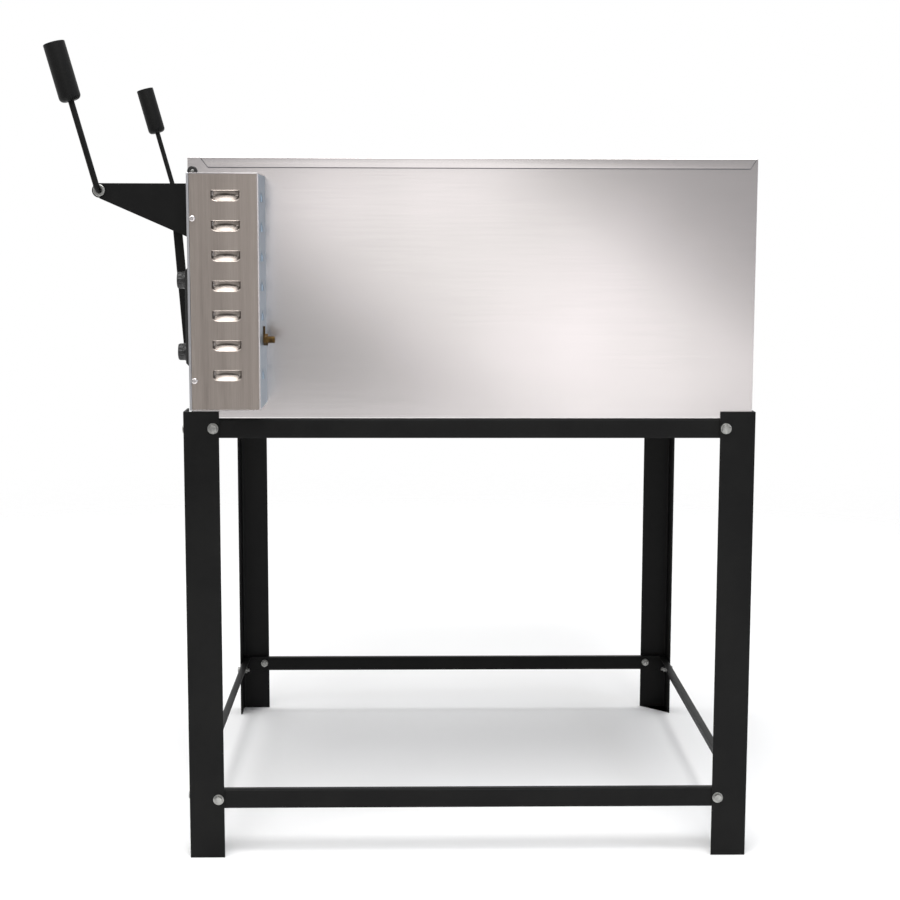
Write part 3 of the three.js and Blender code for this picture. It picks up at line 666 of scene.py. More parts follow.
def pressed_sheet(base: Base, u_lines: Array, v_lines: Array, pressings: list[Pressing]) -> Surface:
    """An open sheet with louvres pressed in it.

    Args:
        base: Function of a u array that gives (points in the plan, outward normals in the plan), each (n, 3).
        u_lines: Grid lines along the sheet, to which the louvres' own are added.
        v_lines: Grid lines up it.
        pressings: The louvres.

    Returns:
        The sheet, facing along u's direction crossed with +Z, with its slits left open.
    """
    own = [p.lines() for p in pressings]
    us = np.unique(np.round(np.concatenate([u_lines] + [a for a, _ in own]), 7))
    vs = np.unique(np.round(np.concatenate([v_lines] + [b for _, b in own]), 7))
    u, v = np.meshgrid(us, vs, indexing="ij")
    depth = sum((p.bulge(u, v) for p in pressings), np.zeros_like(u))
    plan, normal = base(us)
    points = plan[:, None] + normal[:, None] * depth[..., None]
    points[..., 2] = v
    faces = grid_faces(len(us), len(vs))
    middle_u = (us[:-1] + us[1:]) / 2
    middle_v = (vs[:-1] + vs[1:]) / 2
    mu, mv = np.meshgrid(middle_u, middle_v, indexing="ij")
    open_face = np.zeros(mu.shape, bool)
    for p in pressings:
        open_face |= p.mouth(mu, mv)
    kept = faces[~open_face.reshape(-1)]
    return Surface(points.reshape(-1, 3), [tuple(f) for f in kept[:, ::-1]])


# ------------------------------------------------------------------ pieces
@dataclass
class Piece:
    """One visible piece: its surface, its finish and the body that it rides on."""

    name: str
    surface: Surface
    finish: Finish
    slot: Slot
    body: Body = Body.OVEN
    replaces: tuple[str, ...] = ()
    sheet: float = 0.0
    bevel: float = 0.0
    sharp: float = 35.0
    closed: bool = True

    def build(self) -> bpy.types.Object:
        """Make the object, finish it and put it on its body.

        Returns:
            The new object.
        """
        mesh = bpy.data.meshes.new(self.name)
        mesh.from_pydata(self.surface.points.tolist(), [], self.surface.faces)
        self.clean(mesh)
        mesh.materials.append(self.finish.material())
        made = bpy.data.objects.new(self.name, mesh)
        bpy.context.scene.collection.objects.link(made)
        if self.bevel:
            edge = made.modifiers.new("broken edges", "BEVEL")
            edge.width = self.bevel
            edge.segments = 3
            edge.limit_method = "ANGLE"
            edge.angle_limit = math.radians(self.sharp)
            edge.harden_normals = True
        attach(made, self.body.value)
        if self.replaces:
            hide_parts(*self.replaces)
        log.info("%s: %d faces on %s", self.name, len(mesh.polygons), self.body.value)
        return made

    def clean(self, mesh: bpy.types.Mesh) -> None:
        """Merge doubled points, turn a closed shell's faces outwards, thicken a sheet and mark the hard edges.

        Args:
            mesh: The mesh to clean.
        """
        work = bmesh.new()
        work.from_mesh(mesh)
        bmesh.ops.remove_doubles(work, verts=work.verts, dist=2e-6)
        bmesh.ops.dissolve_degenerate(work, edges=work.edges, dist=1e-7)
        if self.closed:
            bmesh.ops.recalc_face_normals(work, faces=work.faces)
        if self.sheet:
            bmesh.ops.solidify(work, geom=list(work.faces), thickness=self.sheet)
        work.to_mesh(mesh)
        work.free()
        mesh.polygons.foreach_set("use_smooth", np.ones(len(mesh.polygons), bool))
        mesh.set_sharp_from_angle(angle=math.radians(self.sharp))


def box_of(node: str) -> tuple[Array, Array]:
    """A CAD node's lowest and highest corners as arrays."""
    low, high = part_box(node)
    return np.array(low), np.array(high)


def dress(nodes: list[str], finish: Finish) -> None:
    """Give CAD nodes a finish.

    Args:
        nodes: The nodes' names.
        finish: What they wear.
    """
    for name in nodes:
        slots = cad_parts[name].data.materials
        slots.clear()
        slots.append(finish.material())
        log.info("%s dressed in %s", name, finish.title)


def folded(corner: tuple[float, float], inward: float, shelf: float, drop: float, sheet: float) -> Array:
    """The section of a sheet folded once: an upright web with a shelf turned in at its top.

    Args:
        corner: The outer corner in the section's two axes.
        inward: The sign of the way that the shelf runs.
        shelf: The shelf's width.
        drop: The web's height, downwards if positive.
        sheet: The sheet's thickness.

    Returns:
        The closed section, with its bend rounded outside and inside.
    """
    s = math.copysign(sheet, drop)
    corners = [(0, 0), (shelf, 0), (shelf, -s), (sheet, -s), (sheet, -drop), (0, -drop)]
    placed = [(corner[0] + inward * a, corner[1] + b) for a, b in corners]
    edge = 0.3 * sheet
    return rounded(placed, np.array([1.4 * sheet, edge, edge, 0.8 * sheet, edge, edge]))


# --------------------------------------------------------------- fasteners
@dataclass(frozen=True)
class Fastener:
    """A hexagon-headed bolt on a washer, with its nut and thread on the other side."""

    across_flats: float = 13 * MM
    head: float = 5.3 * MM
    washer_radius: float = 9.2 * MM
    washer: float = 1.5 * MM
    shank: float = 4 * MM

    def hexagon(self, origin: Array, axis: Array, start: float, height: float, bore: float) -> Surface:
        """A hexagonal prism whose corners are chamfered.

        The side's radius at angle a is the flat's distance over cos(a folded into one sixth); the side ends where a
        cone of 30 degrees cuts it.

        Args:
            origin: The foot of its axis.
            axis: The way it points.
            start: Where it starts along the axis.
            height: How tall it is.
            bore: The radius of its hole, or none.

        Returns:
            The prism's surface.
        """
        flat = self.across_flats / 2

        def ripple(radius: Array, height_: Array, angle: Array) -> tuple[Array, Array]:
            """Six flats on the points at the flat's distance, lowered towards the corners.

            Args:
                radius: The radius in metres.
                height_: Heights.
                angle: Angles about the axis.

            Returns:
                The new radii and heights.
            """
            folded_angle = (angle + np.pi / 6) % (np.pi / 3) - np.pi / 6
            hexed = flat / np.cos(folded_angle)
            lowered = height_ - np.where(np.isclose(radius, flat), (hexed - flat) * 0.58 * (height_ > start), 0)
            return np.where(np.isclose(radius, flat), hexed, radius), lowered

        top = start + height
        profile = [(bore, start), (flat, start), (flat, top), (flat * 0.97, top), (bore, top)]
        return spun(profile, origin, axis, 48, ripple)

    def outside(self, origin: Array, axis: Array) -> Surface:
        """The washer and the head, standing on a face.

        Args:
            origin: The foot of its axis.
            axis: The way that it points.

        Returns:
            The bolt head's and washer's surface.
        """
        w, r = self.washer, self.washer_radius
        soft = 0.3 * MM
        ring = [(self.shank, 0), (r - soft, 0), (r, soft), (r, w - soft), (r - soft, w), (self.shank, w)]
        head = self.hexagon(origin, axis, w, self.head, 0.0)
        return together([spun(ring + ring[:1], origin, axis, 48), head])

    def inside(self, origin: Array, axis: Array) -> Surface:
        """The nut and the thread's end, whose radius swells at every turn of a 1.25 mm pitch.

        Args:
            origin: The foot of its axis.
            axis: The way that it points.

        Returns:
            The nut's, washer's and thread's surface.
        """
        w, r = self.washer, self.washer_radius * 0.85
        ring = [(self.shank, 0), (r, 0), (r, w), (self.shank, w)]
        nut = self.hexagon(origin, axis, w, 6.3 * MM, self.shank)
        heights = np.linspace(0, 12 * MM, 49)
        radii = self.shank * (1 - 0.07 * (1 + np.cos(2 * np.pi * heights / (1.25 * MM))) / 2)
        thread = [(0, 0), *zip(radii, heights), (self.shank * 0.7, 12.8 * MM), (0, 12.8 * MM)]
        return together([spun(ring + ring[:1], origin, axis, 40), nut, spun(thread, origin, axis, 24)])


@dataclass(frozen=True)
class PanScrew:
    """A pan-head screw with a round driving recess."""

    radius: float = 5 * MM
    rise: float = 2.8 * MM
    recess: float = 2.0 * MM

    def head(self, origin: Array, axis: Array) -> Surface:
        """A quarter-ellipse dome round a straight-sided recess.

        Args:
            origin: The foot of its axis.
            axis: The way that it points.

        Returns:
            The screw head's surface.
        """
        turn = np.linspace(0, np.pi / 2, 9)
        dome_r = self.recess + (self.radius - self.recess) * np.cos(turn)
        dome_h = self.rise * (0.3 + 0.7 * np.sin(turn))
        socket = [(self.recess, 0.1 * self.rise), (0, 0.05 * self.rise)]
        profile = [(0, 0), (self.radius, 0), *zip(dome_r, dome_h), *socket]
        return spun(profile, origin, axis, 32)


# ------------------------------------------------------------------- stand
@dataclass
class Stand:
    """Four angle legs tied by folded rails, all bolted."""

    angle: float = 60 * MM
    sheet: float = 3 * MM
    shelf: float = 15 * MM
    bolt_in: float = 50 * MM
    bolt: Fastener = field(default_factory=Fastener)

    def leg(self, side: Side, end: str) -> None:
        """One leg: an L section with a rolled root and rounded toes.

        Args:
            side: The side of the oven.
            end: "front" or "rear".
        """
        node = f"stand_leg_{end}_{side.word}"
        low, high = box_of(node)
        x = high[0] if side is Side.RIGHT else low[0]
        y = low[1] if end == "front" else high[1]
        sx = -side.value
        sy = 1 if end == "front" else -1
        a, s = self.angle, self.sheet
        corners = [(0, 0), (a, 0), (a, s), (s, s), (s, a), (0, a)]
        radii = np.array([1.2, 0.4, 2.0, 4.0, 2.0, 0.4]) * MM
        section = rounded([(x + sx * p, y + sy * q) for p, q in corners], radii, 5)
        surface = prism(section, Axis.Z, low[2], high[2])
        Piece(f"leg_{end}_{side.word}", surface, BLACK, Slot.BLACK, replaces=(node,), bevel=0.5 * MM).build()

    def side_rail(self, level: str, side: Side) -> None:
        """A rail along Y on one side.

        Args:
            level: "top", "upper" or "lower".
            side: The side of the oven.
        """
        node = f"{level}_rail_{side.word}"
        low, high = box_of(node)
        x = high[0] if side is Side.RIGHT else low[0]
        section = folded((x, high[2]), -side.value, self.shelf, high[2] - low[2], self.sheet)
        surface = prism(section, Axis.Y, low[1], high[1])
        Piece(f"rail_{level}_{side.word}", surface, BLACK, Slot.BLACK, replaces=(node,), bevel=0.3 * MM).build()

    def cross_rail(self, level: str, end: str) -> None:
        """A rail along X at the front or the rear.

        Args:
            level: "top", "upper" or "lower".
            end: "front" or "rear".
        """
        node = f"{level}_rail_{end}"
        low, high = box_of(node)
        inward = 1 if end == "front" else -1
        y = low[1] if end == "front" else high[1]
        section = folded((y, high[2]), inward, self.shelf, high[2] - low[2], self.sheet)
        surface = prism(section, Axis.X, low[0], high[0])
        Piece(f"rail_{level}_{end}", surface, BLACK, Slot.BLACK, replaces=(node,), bevel=0.3 * MM).build()

    def bolts(self) -> None:
        """A bolt through each leg's two flanges at each level, with its nut behind the rail."""
        low, _ = box_of("stand_leg_front_left")
        _, high = box_of("stand_leg_rear_right")
        heads, nuts = [], []
        for level in ("top", "lower"):
            bottom, top = box_of(f"{level}_rail_right")
            z = bottom[2] + 0.5 * (top[2] - bottom[2])
            for x, out_x in ((low[0], -1.0), (high[0], 1.0)):
                for y in (low[1] + self.bolt_in, high[1] - self.bolt_in):
                    heads.append(self.bolt.outside([x, y, z], [out_x, 0, 0]))
                    nuts.append(self.bolt.inside([x - out_x * 6.3 * MM, y, z], [-out_x, 0, 0]))
            for y, out_y in ((low[1], -1.0), (high[1], 1.0)):
                for x in (low[0] + 0.76 * self.angle, high[0] - 0.76 * self.angle):
                    heads.append(self.bolt.outside([x, y, z - 6 * MM], [0, out_y, 0]))
                    nuts.append(self.bolt.inside([x, y - out_y * 6.3 * MM, z - 6 * MM], [0, -out_y, 0]))
        Piece("stand_bolts", together(heads), ZINC, Slot.ZINC, bevel=0.15 * MM).build()
        Piece("stand_nuts", together(nuts), ZINC, Slot.ZINC).build()

    def build(self) -> None:
        """Make the whole stand."""
        for side in Side:
            for end in ("front", "rear"):
                self.leg(side, end)
            for level in ("top", "lower"):
                self.side_rail(level, side)
        for level in ("top", "lower"):
            for end in ("front", "rear"):
                self.cross_rail(level, end)
        self.bolts()


# ------------------------------------------------------------------ casing
@dataclass
class Casing:
    """The stainless shell round the chamber."""

    sheet: float = 1.5 * MM
    lid_sheet: float = 1.2 * MM
    lid_bend: float = 2.2 * MM
    # Radius of the dark bead that paints the shadow under the lid's flanges.
    shadow_bead_radius: float = 0.7 * MM
    front_mitre: float = 13 * MM
    rear_mitre: float = 11 * MM
    vent_columns: tuple[float, ...] = (-0.24, 0.0, 0.24)
    vent_rows: tuple[float, ...] = (0.85, 0.93, 1.11)
    vent_size: tuple[float, float, float] = (200 * MM, 40 * MM, 15 * MM)
    screw: PanScrew = field(default_factory=PanScrew)

    def side_wall(self, side: Side) -> None:
        """A side wall: one tall sheet with its foot turned in.

        Args:
            side: The side of the oven.
        """
        node = f"side_panel_{side.word}"
        low, high = box_of(node)
        x = high[0] if side is Side.RIGHT else low[0]
        section = folded((x, low[2]), -side.value, high[0] - low[0], low[2] - high[2], self.sheet)
        surface = prism(section, Axis.Y, low[1], high[1])
        name = f"side_wall_{side.word}"
        Piece(name, surface, POLISHED, Slot.POLISHED, replaces=(node,), bevel=0.35 * MM).build()

    def lid(self) -> None:
        """The top cover: a sheet whose two flanges turn down over the walls, cut back along a mitre.

        The section runs up one flange, round a quarter bend, across, round and down. Each point's front edge lies
        back by its depth under the top over the flange's height, times the mitre.
        """
        low, high = box_of("top_cover")
        turn = np.linspace(0, np.pi / 2, 7)
        r = self.lid_bend
        bend = np.stack([high[0] - r + r * np.cos(turn), high[2] - r + r * np.sin(turn)], -1)
        right = np.vstack([[high[0], low[2]], bend])
        left = right[::-1].copy()
        left[:, 0] = low[0] + high[0] - left[:, 0]
        section = np.vstack([right, left])
        depth = (high[2] - section[:, 1]) / (high[2] - low[2])
        ends = np.stack([low[1] + depth * self.front_mitre, high[1] - depth * self.rear_mitre], 0)
        points = np.zeros((2, len(section), 3))
        points[:, :, 0] = section[:, 0]
        points[:, :, 1] = ends
        points[:, :, 2] = section[:, 1]
        faces = [tuple(reversed(f)) for f in grid_faces(2, len(section)).tolist()]
        surface = Surface(points.reshape(-1, 3), faces)
        lid = Piece("lid", surface, POLISHED, Slot.POLISHED, replaces=("top_cover",), closed=False)
        lid.sheet = self.lid_sheet
        lid.build()

    def lid_shadow_bead(self) -> None:
        """A dark bead round each flange's edge that paints the shadow in the gap under it: down the front mitre,
        along and up the rear one.
        """
        low, high = box_of("top_cover")
        out = self.shadow_bead_radius
        near, deep = 2 * MM, 3 * MM
        path = np.array(
            [
                [low[1] + near - out, high[2] - deep],
                [low[1] + self.front_mitre, low[2] - out],
                [high[1] - self.rear_mitre, low[2] - out],
                [high[1] - near + out, high[2] - deep],
            ]
        )
        beads = []
        for side in Side:
            wall = box_of(f"side_panel_{side.word}")
            face = wall[1][0] if side is Side.RIGHT else wall[0][0]
            line = np.insert(path, 0, face + side.value * out, axis=1)
            beads.append(carried(circle(out, 12), line, [1, 0, 0]))
        # Dark grey, so that it paints the shadow in the gap under each flange.
        Piece("lid_shadow_bead", together(beads), SHADOW_BEAD, Slot.PLASTIC).build()

    def rear_wall(self) -> None:
        """The rear wall, pressed with rows of downward vents and held by screws round its edge."""
        low, high = box_of("rear_panel")
        width, height, depth = self.vent_size
        face = high[1] - depth
        middle = (low[0] + high[0]) / 2
        vents = [
            Pressing(middle + across, up, width, height, depth - 0.5 * MM, Lip.BOTTOM)
            for up in self.vent_rows
            for across in self.vent_columns
        ]

        def base(u: Array) -> tuple[Array, Array]:
            """The flat wall, facing the rear."""
            plan = np.stack([u, np.full_like(u, face), np.zeros_like(u)], -1)
            return plan, np.tile([0.0, 1.0, 0.0], (len(u), 1))

        edges_u = np.array([low[0], high[0]])
        edges_v = np.array([low[2], high[2]])
        surface = pressed_sheet(base, edges_u, edges_v, vents)
        surface.faces = [tuple(reversed(f)) for f in surface.faces]
        wall = Piece("rear_wall", surface, LID, Slot.POLISHED, replaces=("rear_panel",), closed=False)
        wall.sheet = self.sheet
        wall.build()
        inset = 14 * MM
        xs = np.linspace(low[0] + inset, high[0] - inset, 5)
        heads = [
            self.screw.head([x, face, z], [0, 1, 0]) for x in xs for z in (low[2] + 12 * MM, high[2] - 24 * MM)
        ]
        Piece("rear_wall_screws", together(heads), ZINC, Slot.ZINC).build()

    def sill(self) -> None:
        """The fascia under the door, folded back into a ledge."""
        low, high = box_of("front_sill")
        section = folded((low[1], high[2]), 1, high[1] - low[1], high[2] - low[2], self.lid_sheet)
        surface = prism(section, Axis.X, low[0], high[0])
        Piece("sill", surface, FRONT, Slot.POLISHED, replaces=("front_sill",), bevel=0.3 * MM).build()

    def guide(self, side: Side) -> None:
        """A door guide: a channel with its mouth towards the middle.

        Args:
            side: The side of the oven.
        """
        node = f"door_guide_{side.word}"
        low, high = box_of(node)
        x_out, x_in = (high[0], low[0]) if side is Side.RIGHT else (low[0], high[0])
        s = self.sheet
        inner = x_out - side.value * s
        corners = [
            (x_out, low[1]),
            (x_in, low[1]),
            (x_in, low[1] + s),
            (inner, low[1] + s),
            (inner, high[1] - s),
            (x_in, high[1] - s),
            (x_in, high[1]),
            (x_out, high[1]),
        ]
        surface = prism(rounded(corners, np.array([2, 0.4, 0.4, 1, 1, 0.4, 0.4, 2]) * MM), Axis.Z, low[2], high[2])
        Piece(f"guide_{side.word}", surface, LID, Slot.POLISHED, replaces=(node,), bevel=0.3 * MM).build()

    def build(self) -> None:
        """Make the casing."""
        for side in Side:
            self.side_wall(side)
            self.guide(side)
        self.lid()
        self.lid_shadow_bead()
        self.rear_wall()
        self.sill()
        dress(["front_frame"], FRONT)
        dress(["base_pan"], GALVANISED)


@dataclass
class Chamber:
    """The baking chamber behind the door."""

    metal: tuple[str, ...] = ("chamber_liner", "hearth_frame", "lower_burner", "upper_burner")
    tiles: tuple[str, ...] = ("hearth_tile_front", "hearth_tile_rear")

    def build(self) -> None:
        """Finish the chamber's own nodes."""
        dress(list(self.metal), GALVANISED)
        dress(list(self.tiles), CLAY)
        dress(["insulation_blanket"], WOOL)


# ----------------------------------------------------------------- gas box
@dataclass
class GasBox:
    """The louvred box that covers the taps, with its panel, knobs and inlet."""

    sheet: float = 1.2 * MM
    bend: float = 2.0 * MM
    hem: float = 2.2 * MM
    first: float = 0.854
    pitch: float = 47.7 * MM
    count: int = 7
    scoop: tuple[float, float, float] = (46 * MM, 17 * MM, 8 * MM)
    scoop_from_front: float = 57.2 * MM
    rear_inset: float = 3.5 * MM
    inlet_height: float = 0.908
    skipped_vent: float = 0.902
    screw: PanScrew = field(default_factory=PanScrew)

    def cover(self) -> None:
        """The cover: a sheet bent round the outer rear corner and scooped for air, with its two ends closed.

        Along the sheet, u runs down the outer wall and round the bend. The rear wall is a sheet of its own, which
        starts where the bend ends.
        """
        low, high = box_of("gas_box_cover")
        outer = box_of("control_panel")[1][0]
        rear = high[1] - self.rear_inset
        r = self.bend
        straight = rear - r - low[1]
        quarter = r * np.pi / 2
        heights = np.array([low[2] + self.hem, high[2] - self.hem])

        def wrap(u: Array) -> tuple[Array, Array]:
            """The outer wall, then a quarter circle at its rear end.

            Args:
                u: Places along the sheet.

            Returns:
                Points in the plan, and outward normals.
            """
            turn = np.clip((u - straight) / r, 0, np.pi / 2)
            normal = np.stack([np.cos(turn), np.sin(turn), np.zeros_like(u)], -1)
            plan = np.array([outer - r, 0.0, 0.0]) + r * normal
            plan[:, 1] += low[1] + np.clip(u, 0, straight)
            return plan, normal

        def back(u: Array) -> tuple[Array, Array]:
            """The rear wall, with u running towards -X."""
            plan = np.stack([-u, np.full_like(u, rear), np.zeros_like(u)], -1)
            return plan, np.tile([0.0, 1.0, 0.0], (len(u), 1))

        width, height, depth = self.scoop
        ups = self.first + self.pitch * np.arange(self.count)
        scoops = [Pressing(self.scoop_from_front, up, width, height, -depth, Lip.TOP) for up in ups]
        bends = straight + quarter * np.linspace(0, 1, 7)
        u_lines = np.concatenate([[0.0, straight - 0.4 * MM], bends])
        surface = pressed_sheet(wrap, u_lines, heights, scoops)
        piece = Piece("gas_cover", surface, BRUSHED, Slot.BRUSHED, replaces=("gas_box_cover",), closed=False)
        piece.sheet = self.sheet
        piece.build()
        middle = -(outer - r + low[0]) / 2
        kept = ups[np.abs(ups - self.skipped_vent) > 5 * MM]
        vents = [Pressing(middle, up, width, height, 3.4 * MM, Lip.BOTTOM) for up in kept]
        rear_lines = np.array([-(outer - r - 0.1 * MM), -low[0]])
        wall = pressed_sheet(back, rear_lines, heights, vents)
        # The rear wall's blue tint is painted reflection on the same brushed sheet.
        rear_piece = Piece("gas_cover_rear", wall, COOL_REFLECTION, Slot.BRUSHED, closed=False)
        rear_piece.sheet = self.sheet
        rear_piece.build()
        # The ends are the cover's top and bottom hems; they wear the brighter polished finish, a painted highlight
        # along the brushed cover's edges.
        ends = []
        corners = [(low[0], low[1]), (outer, low[1]), (outer, rear), (low[0], rear)]
        outline = rounded(corners, np.array([0.2, 0.2, 2.2, 0.2]) * MM, 6)
        for z0, z1 in ((low[2], heights[0] - 0.2 * MM), (heights[1] + 0.2 * MM, high[2])):
            ends.append(prism(outline, Axis.Z, z0, z1))
        Piece("gas_cover_hems_highlight", together(ends), POLISHED, Slot.BRUSHED, bevel=0.5 * MM).build()
        # A strip in the brighter polished finish along the brushed cover's rear corner: a painted highlight line.
        edge, proud = 2.4 * MM, 0.35 * MM
        fold = [(outer - edge, rear - 1.0 * MM), (outer + proud, rear - edge), (outer + proud, rear + proud)]
        fold += [(outer - edge, rear + proud)]
        seam = prism(rounded(fold, np.array([0.2, 0.6, 1.2, 0.3]) * MM, 5), Axis.Z, heights[0], heights[1])
        Piece("gas_cover_fold_highlight", seam, POLISHED, Slot.BRUSHED).build()

    def panel(self) -> None:
        """The control panel: a shallow tray with softly bent edges, and the raised bezel behind the knobs."""
        low, high = box_of("control_panel")
        outline = rounded([(low[0], low[2]), (high[0], low[2]), (high[0], high[2]), (low[0], high[2])], 1.5 * MM)
        surface = prism(outline, Axis.Y, low[1], high[1])
        Piece("panel", surface, LID, Slot.BRUSHED, replaces=("control_panel",), bevel=0.9 * MM).build()
        low, high = box_of("knob_bezel")
        slant = 9 * MM
        corners = [(high[1], low[2]), (high[1], high[2]), (low[1], high[2] - slant), (low[1], low[2] + slant)]
        surface = prism(rounded(corners, 1.5 * MM), Axis.X, low[0], high[0])
        Piece("bezel", surface, PLASTIC, Slot.PLASTIC, replaces=("knob_bezel",), bevel=1.0 * MM).build()

    def knob(self, level: str, body: Body) -> None:
        """A knob: a turned skirt, a gripping rim of shallow flutes, and a raised pointer across its face.

        The rim's radius falls by a twentieth at each of 18 flutes, by the square of the cosine of nine times the
        angle, fading out at the skirt and the face.

        Args:
            level: "top", "upper" or "lower".
            body: The body that it rides on.
        """
        node = f"knob_{level}"
        low, high = box_of(node)
        middle = (low + high) / 2
        radius = (high[2] - low[2]) / 2
        length = box_of("knob_bezel")[0][1] - 0.3 * MM - low[1]
        profile = [
            (0, 0.6 * MM),
            (radius * 0.55, 0.4 * MM),
            (radius * 0.78, 0.4 * MM),
            (radius * 0.88, 0.8 * MM),
            (radius * 0.93, 2.0 * MM),
            (radius * 0.95, 3.2 * MM),
            *[(radius * (0.95 + 0.01 * t), (3.2 + 6.4 * t) * MM) for t in np.linspace(0.2, 1, 4)],
            (radius * 0.985, length * 0.72),
            (radius, length * 0.8),
            (radius, length - 0.6 * MM),
            (radius * 0.96, length),
            (3 * MM, length),
            (3 * MM, high[1] - low[1]),
            (0, high[1] - low[1]),
        ]

        def ripple(r: Array, h: Array, angle: Array) -> tuple[Array, Array]:
            """Flutes in the rim, as the knob's own formula says."""
            grip = np.clip((h - 1.5 * MM) / (1.5 * MM), 0, 1) * np.clip((length * 0.7 - h) / (1.5 * MM), 0, 1)
            return r * (1 - 0.05 * grip * np.cos(9 * angle) ** 2), h

        skirt = spun(profile, [middle[0], low[1], middle[2]], [0, 1, 0], 144, ripple)
        bar = rounded([(-1.6, -11), (1.6, -11), (1.6, 12), (-1.6, 12)], 1.2) * MM
        bar += np.array([middle[0], middle[2]])
        pointer = prism(bar, Axis.Y, low[1], low[1] + 1.6 * MM)
        Piece(
            f"knob_{level}_grip", together([skirt, pointer]), PLASTIC, Slot.PLASTIC, body, (node,), bevel=0.25 * MM
        ).build()
        line = rounded([(-0.5, 4), (0.5, 4), (0.5, 11), (-0.5, 11)], 0.3) * MM + np.array([middle[0], middle[2]])
        mark = prism(line, Axis.Y, low[1] - 0.05 * MM, low[1] + 0.4 * MM)
        Piece(f"knob_{level}_mark", mark, ENAMEL, Slot.PLASTIC, body).build()

    def inlet(self) -> None:
        """The inlet: a chamfered hexagon, a threaded barrel and a locking tab on the rear wall."""
        low, high = box_of("inlet_fitting")
        wall = box_of("gas_box_cover")[1][1] - self.rear_inset
        x = (low[0] + high[0]) / 2
        z = self.inlet_height
        foot = np.array([x, wall, z])
        nut = Fastener(across_flats=17.2 * MM).hexagon(foot, [0, 1, 0], 0.3 * MM, 7.6 * MM, 0.0)
        reach = high[1] - wall
        heights = np.linspace(7.9 * MM, reach - 1.5 * MM, 41)
        threads = 6 * MM * (1 - 0.06 * (1 + np.cos(2 * np.pi * heights / (1.4 * MM))) / 2)
        barrel = [(0, 7 * MM), (5.6 * MM, 7 * MM), *zip(threads, heights), (5.3 * MM, reach), (3.4 * MM, reach)]
        barrel += [(3.4 * MM, reach - 9 * MM), (0, reach - 9 * MM)]
        spigot = [(0, low[1] - wall), (5.8 * MM, low[1] - wall), (5.8 * MM, 0.4 * MM), (0, 0.4 * MM)]
        tab = rounded([(-5, 5), (5, 5), (4, 22), (-4, 22)], 2.0) * MM + np.array([x, z])
        parts = [
            nut,
            spun(barrel, foot, [0, 1, 0], 40),
            spun(spigot, foot, [0, 1, 0], 32),
            prism(tab, Axis.Y, wall + 0.3 * MM, wall + 3.2 * MM),
        ]
        Piece("inlet", together(parts), BRASS, Slot.BRASS, replaces=("inlet_fitting",), bevel=0.25 * MM).build()

    def screws(self) -> None:
        """The cover's two screws, and the grommet on the side wall."""
        for level in ("lower", "upper"):
            node = f"gas_box_screw_{level}"
            low, high = box_of(node)
            middle = (low + high) / 2
            head = self.screw.head([high[0] - self.screw.rise, middle[1], middle[2]], [1, 0, 0])
            Piece(f"cover_screw_{level}", head, POLISHED, Slot.ZINC, replaces=(node,)).build()
        low, high = box_of("side_grommet")
        middle = (low + high) / 2
        radius = (high[2] - low[2]) / 2
        depth = high[0] - low[0]
        turn = np.linspace(-np.pi / 2, np.pi / 2, 9)
        swell = [(radius - depth / 2 + depth / 2 * np.cos(t), depth / 2 + depth / 2 * np.sin(t)) for t in turn]
        profile = [(4 * MM, 0), *swell, (4 * MM, depth), (4 * MM, 0)]
        ring = spun(profile, [low[0], middle[1], middle[2]], [1, 0, 0], 48)
        Piece("grommet", ring, PLASTIC, Slot.PLASTIC, replaces=("side_grommet",)).build()
        stud = self.screw.head([low[0], middle[1], middle[2]], [1, 0, 0])
        stud.points = middle + (stud.points - middle) * np.array([0.8, 0.7, 0.7])
        Piece("grommet_rivet", stud, ZINC, Slot.ZINC).build()

    def build(self) -> None:
        """Make the gas box."""
        self.cover()
        self.panel()
        self.knob("lower", Body.LOWER_KNOB)
        self.knob("upper", Body.UPPER_KNOB)
        self.inlet()
        self.screws()
        dress(["gas_valve_lower", "gas_valve_upper"], BRASS)
        dress(["gas_manifold", "feed_pipe_lower", "feed_pipe_upper"], GALVANISED)


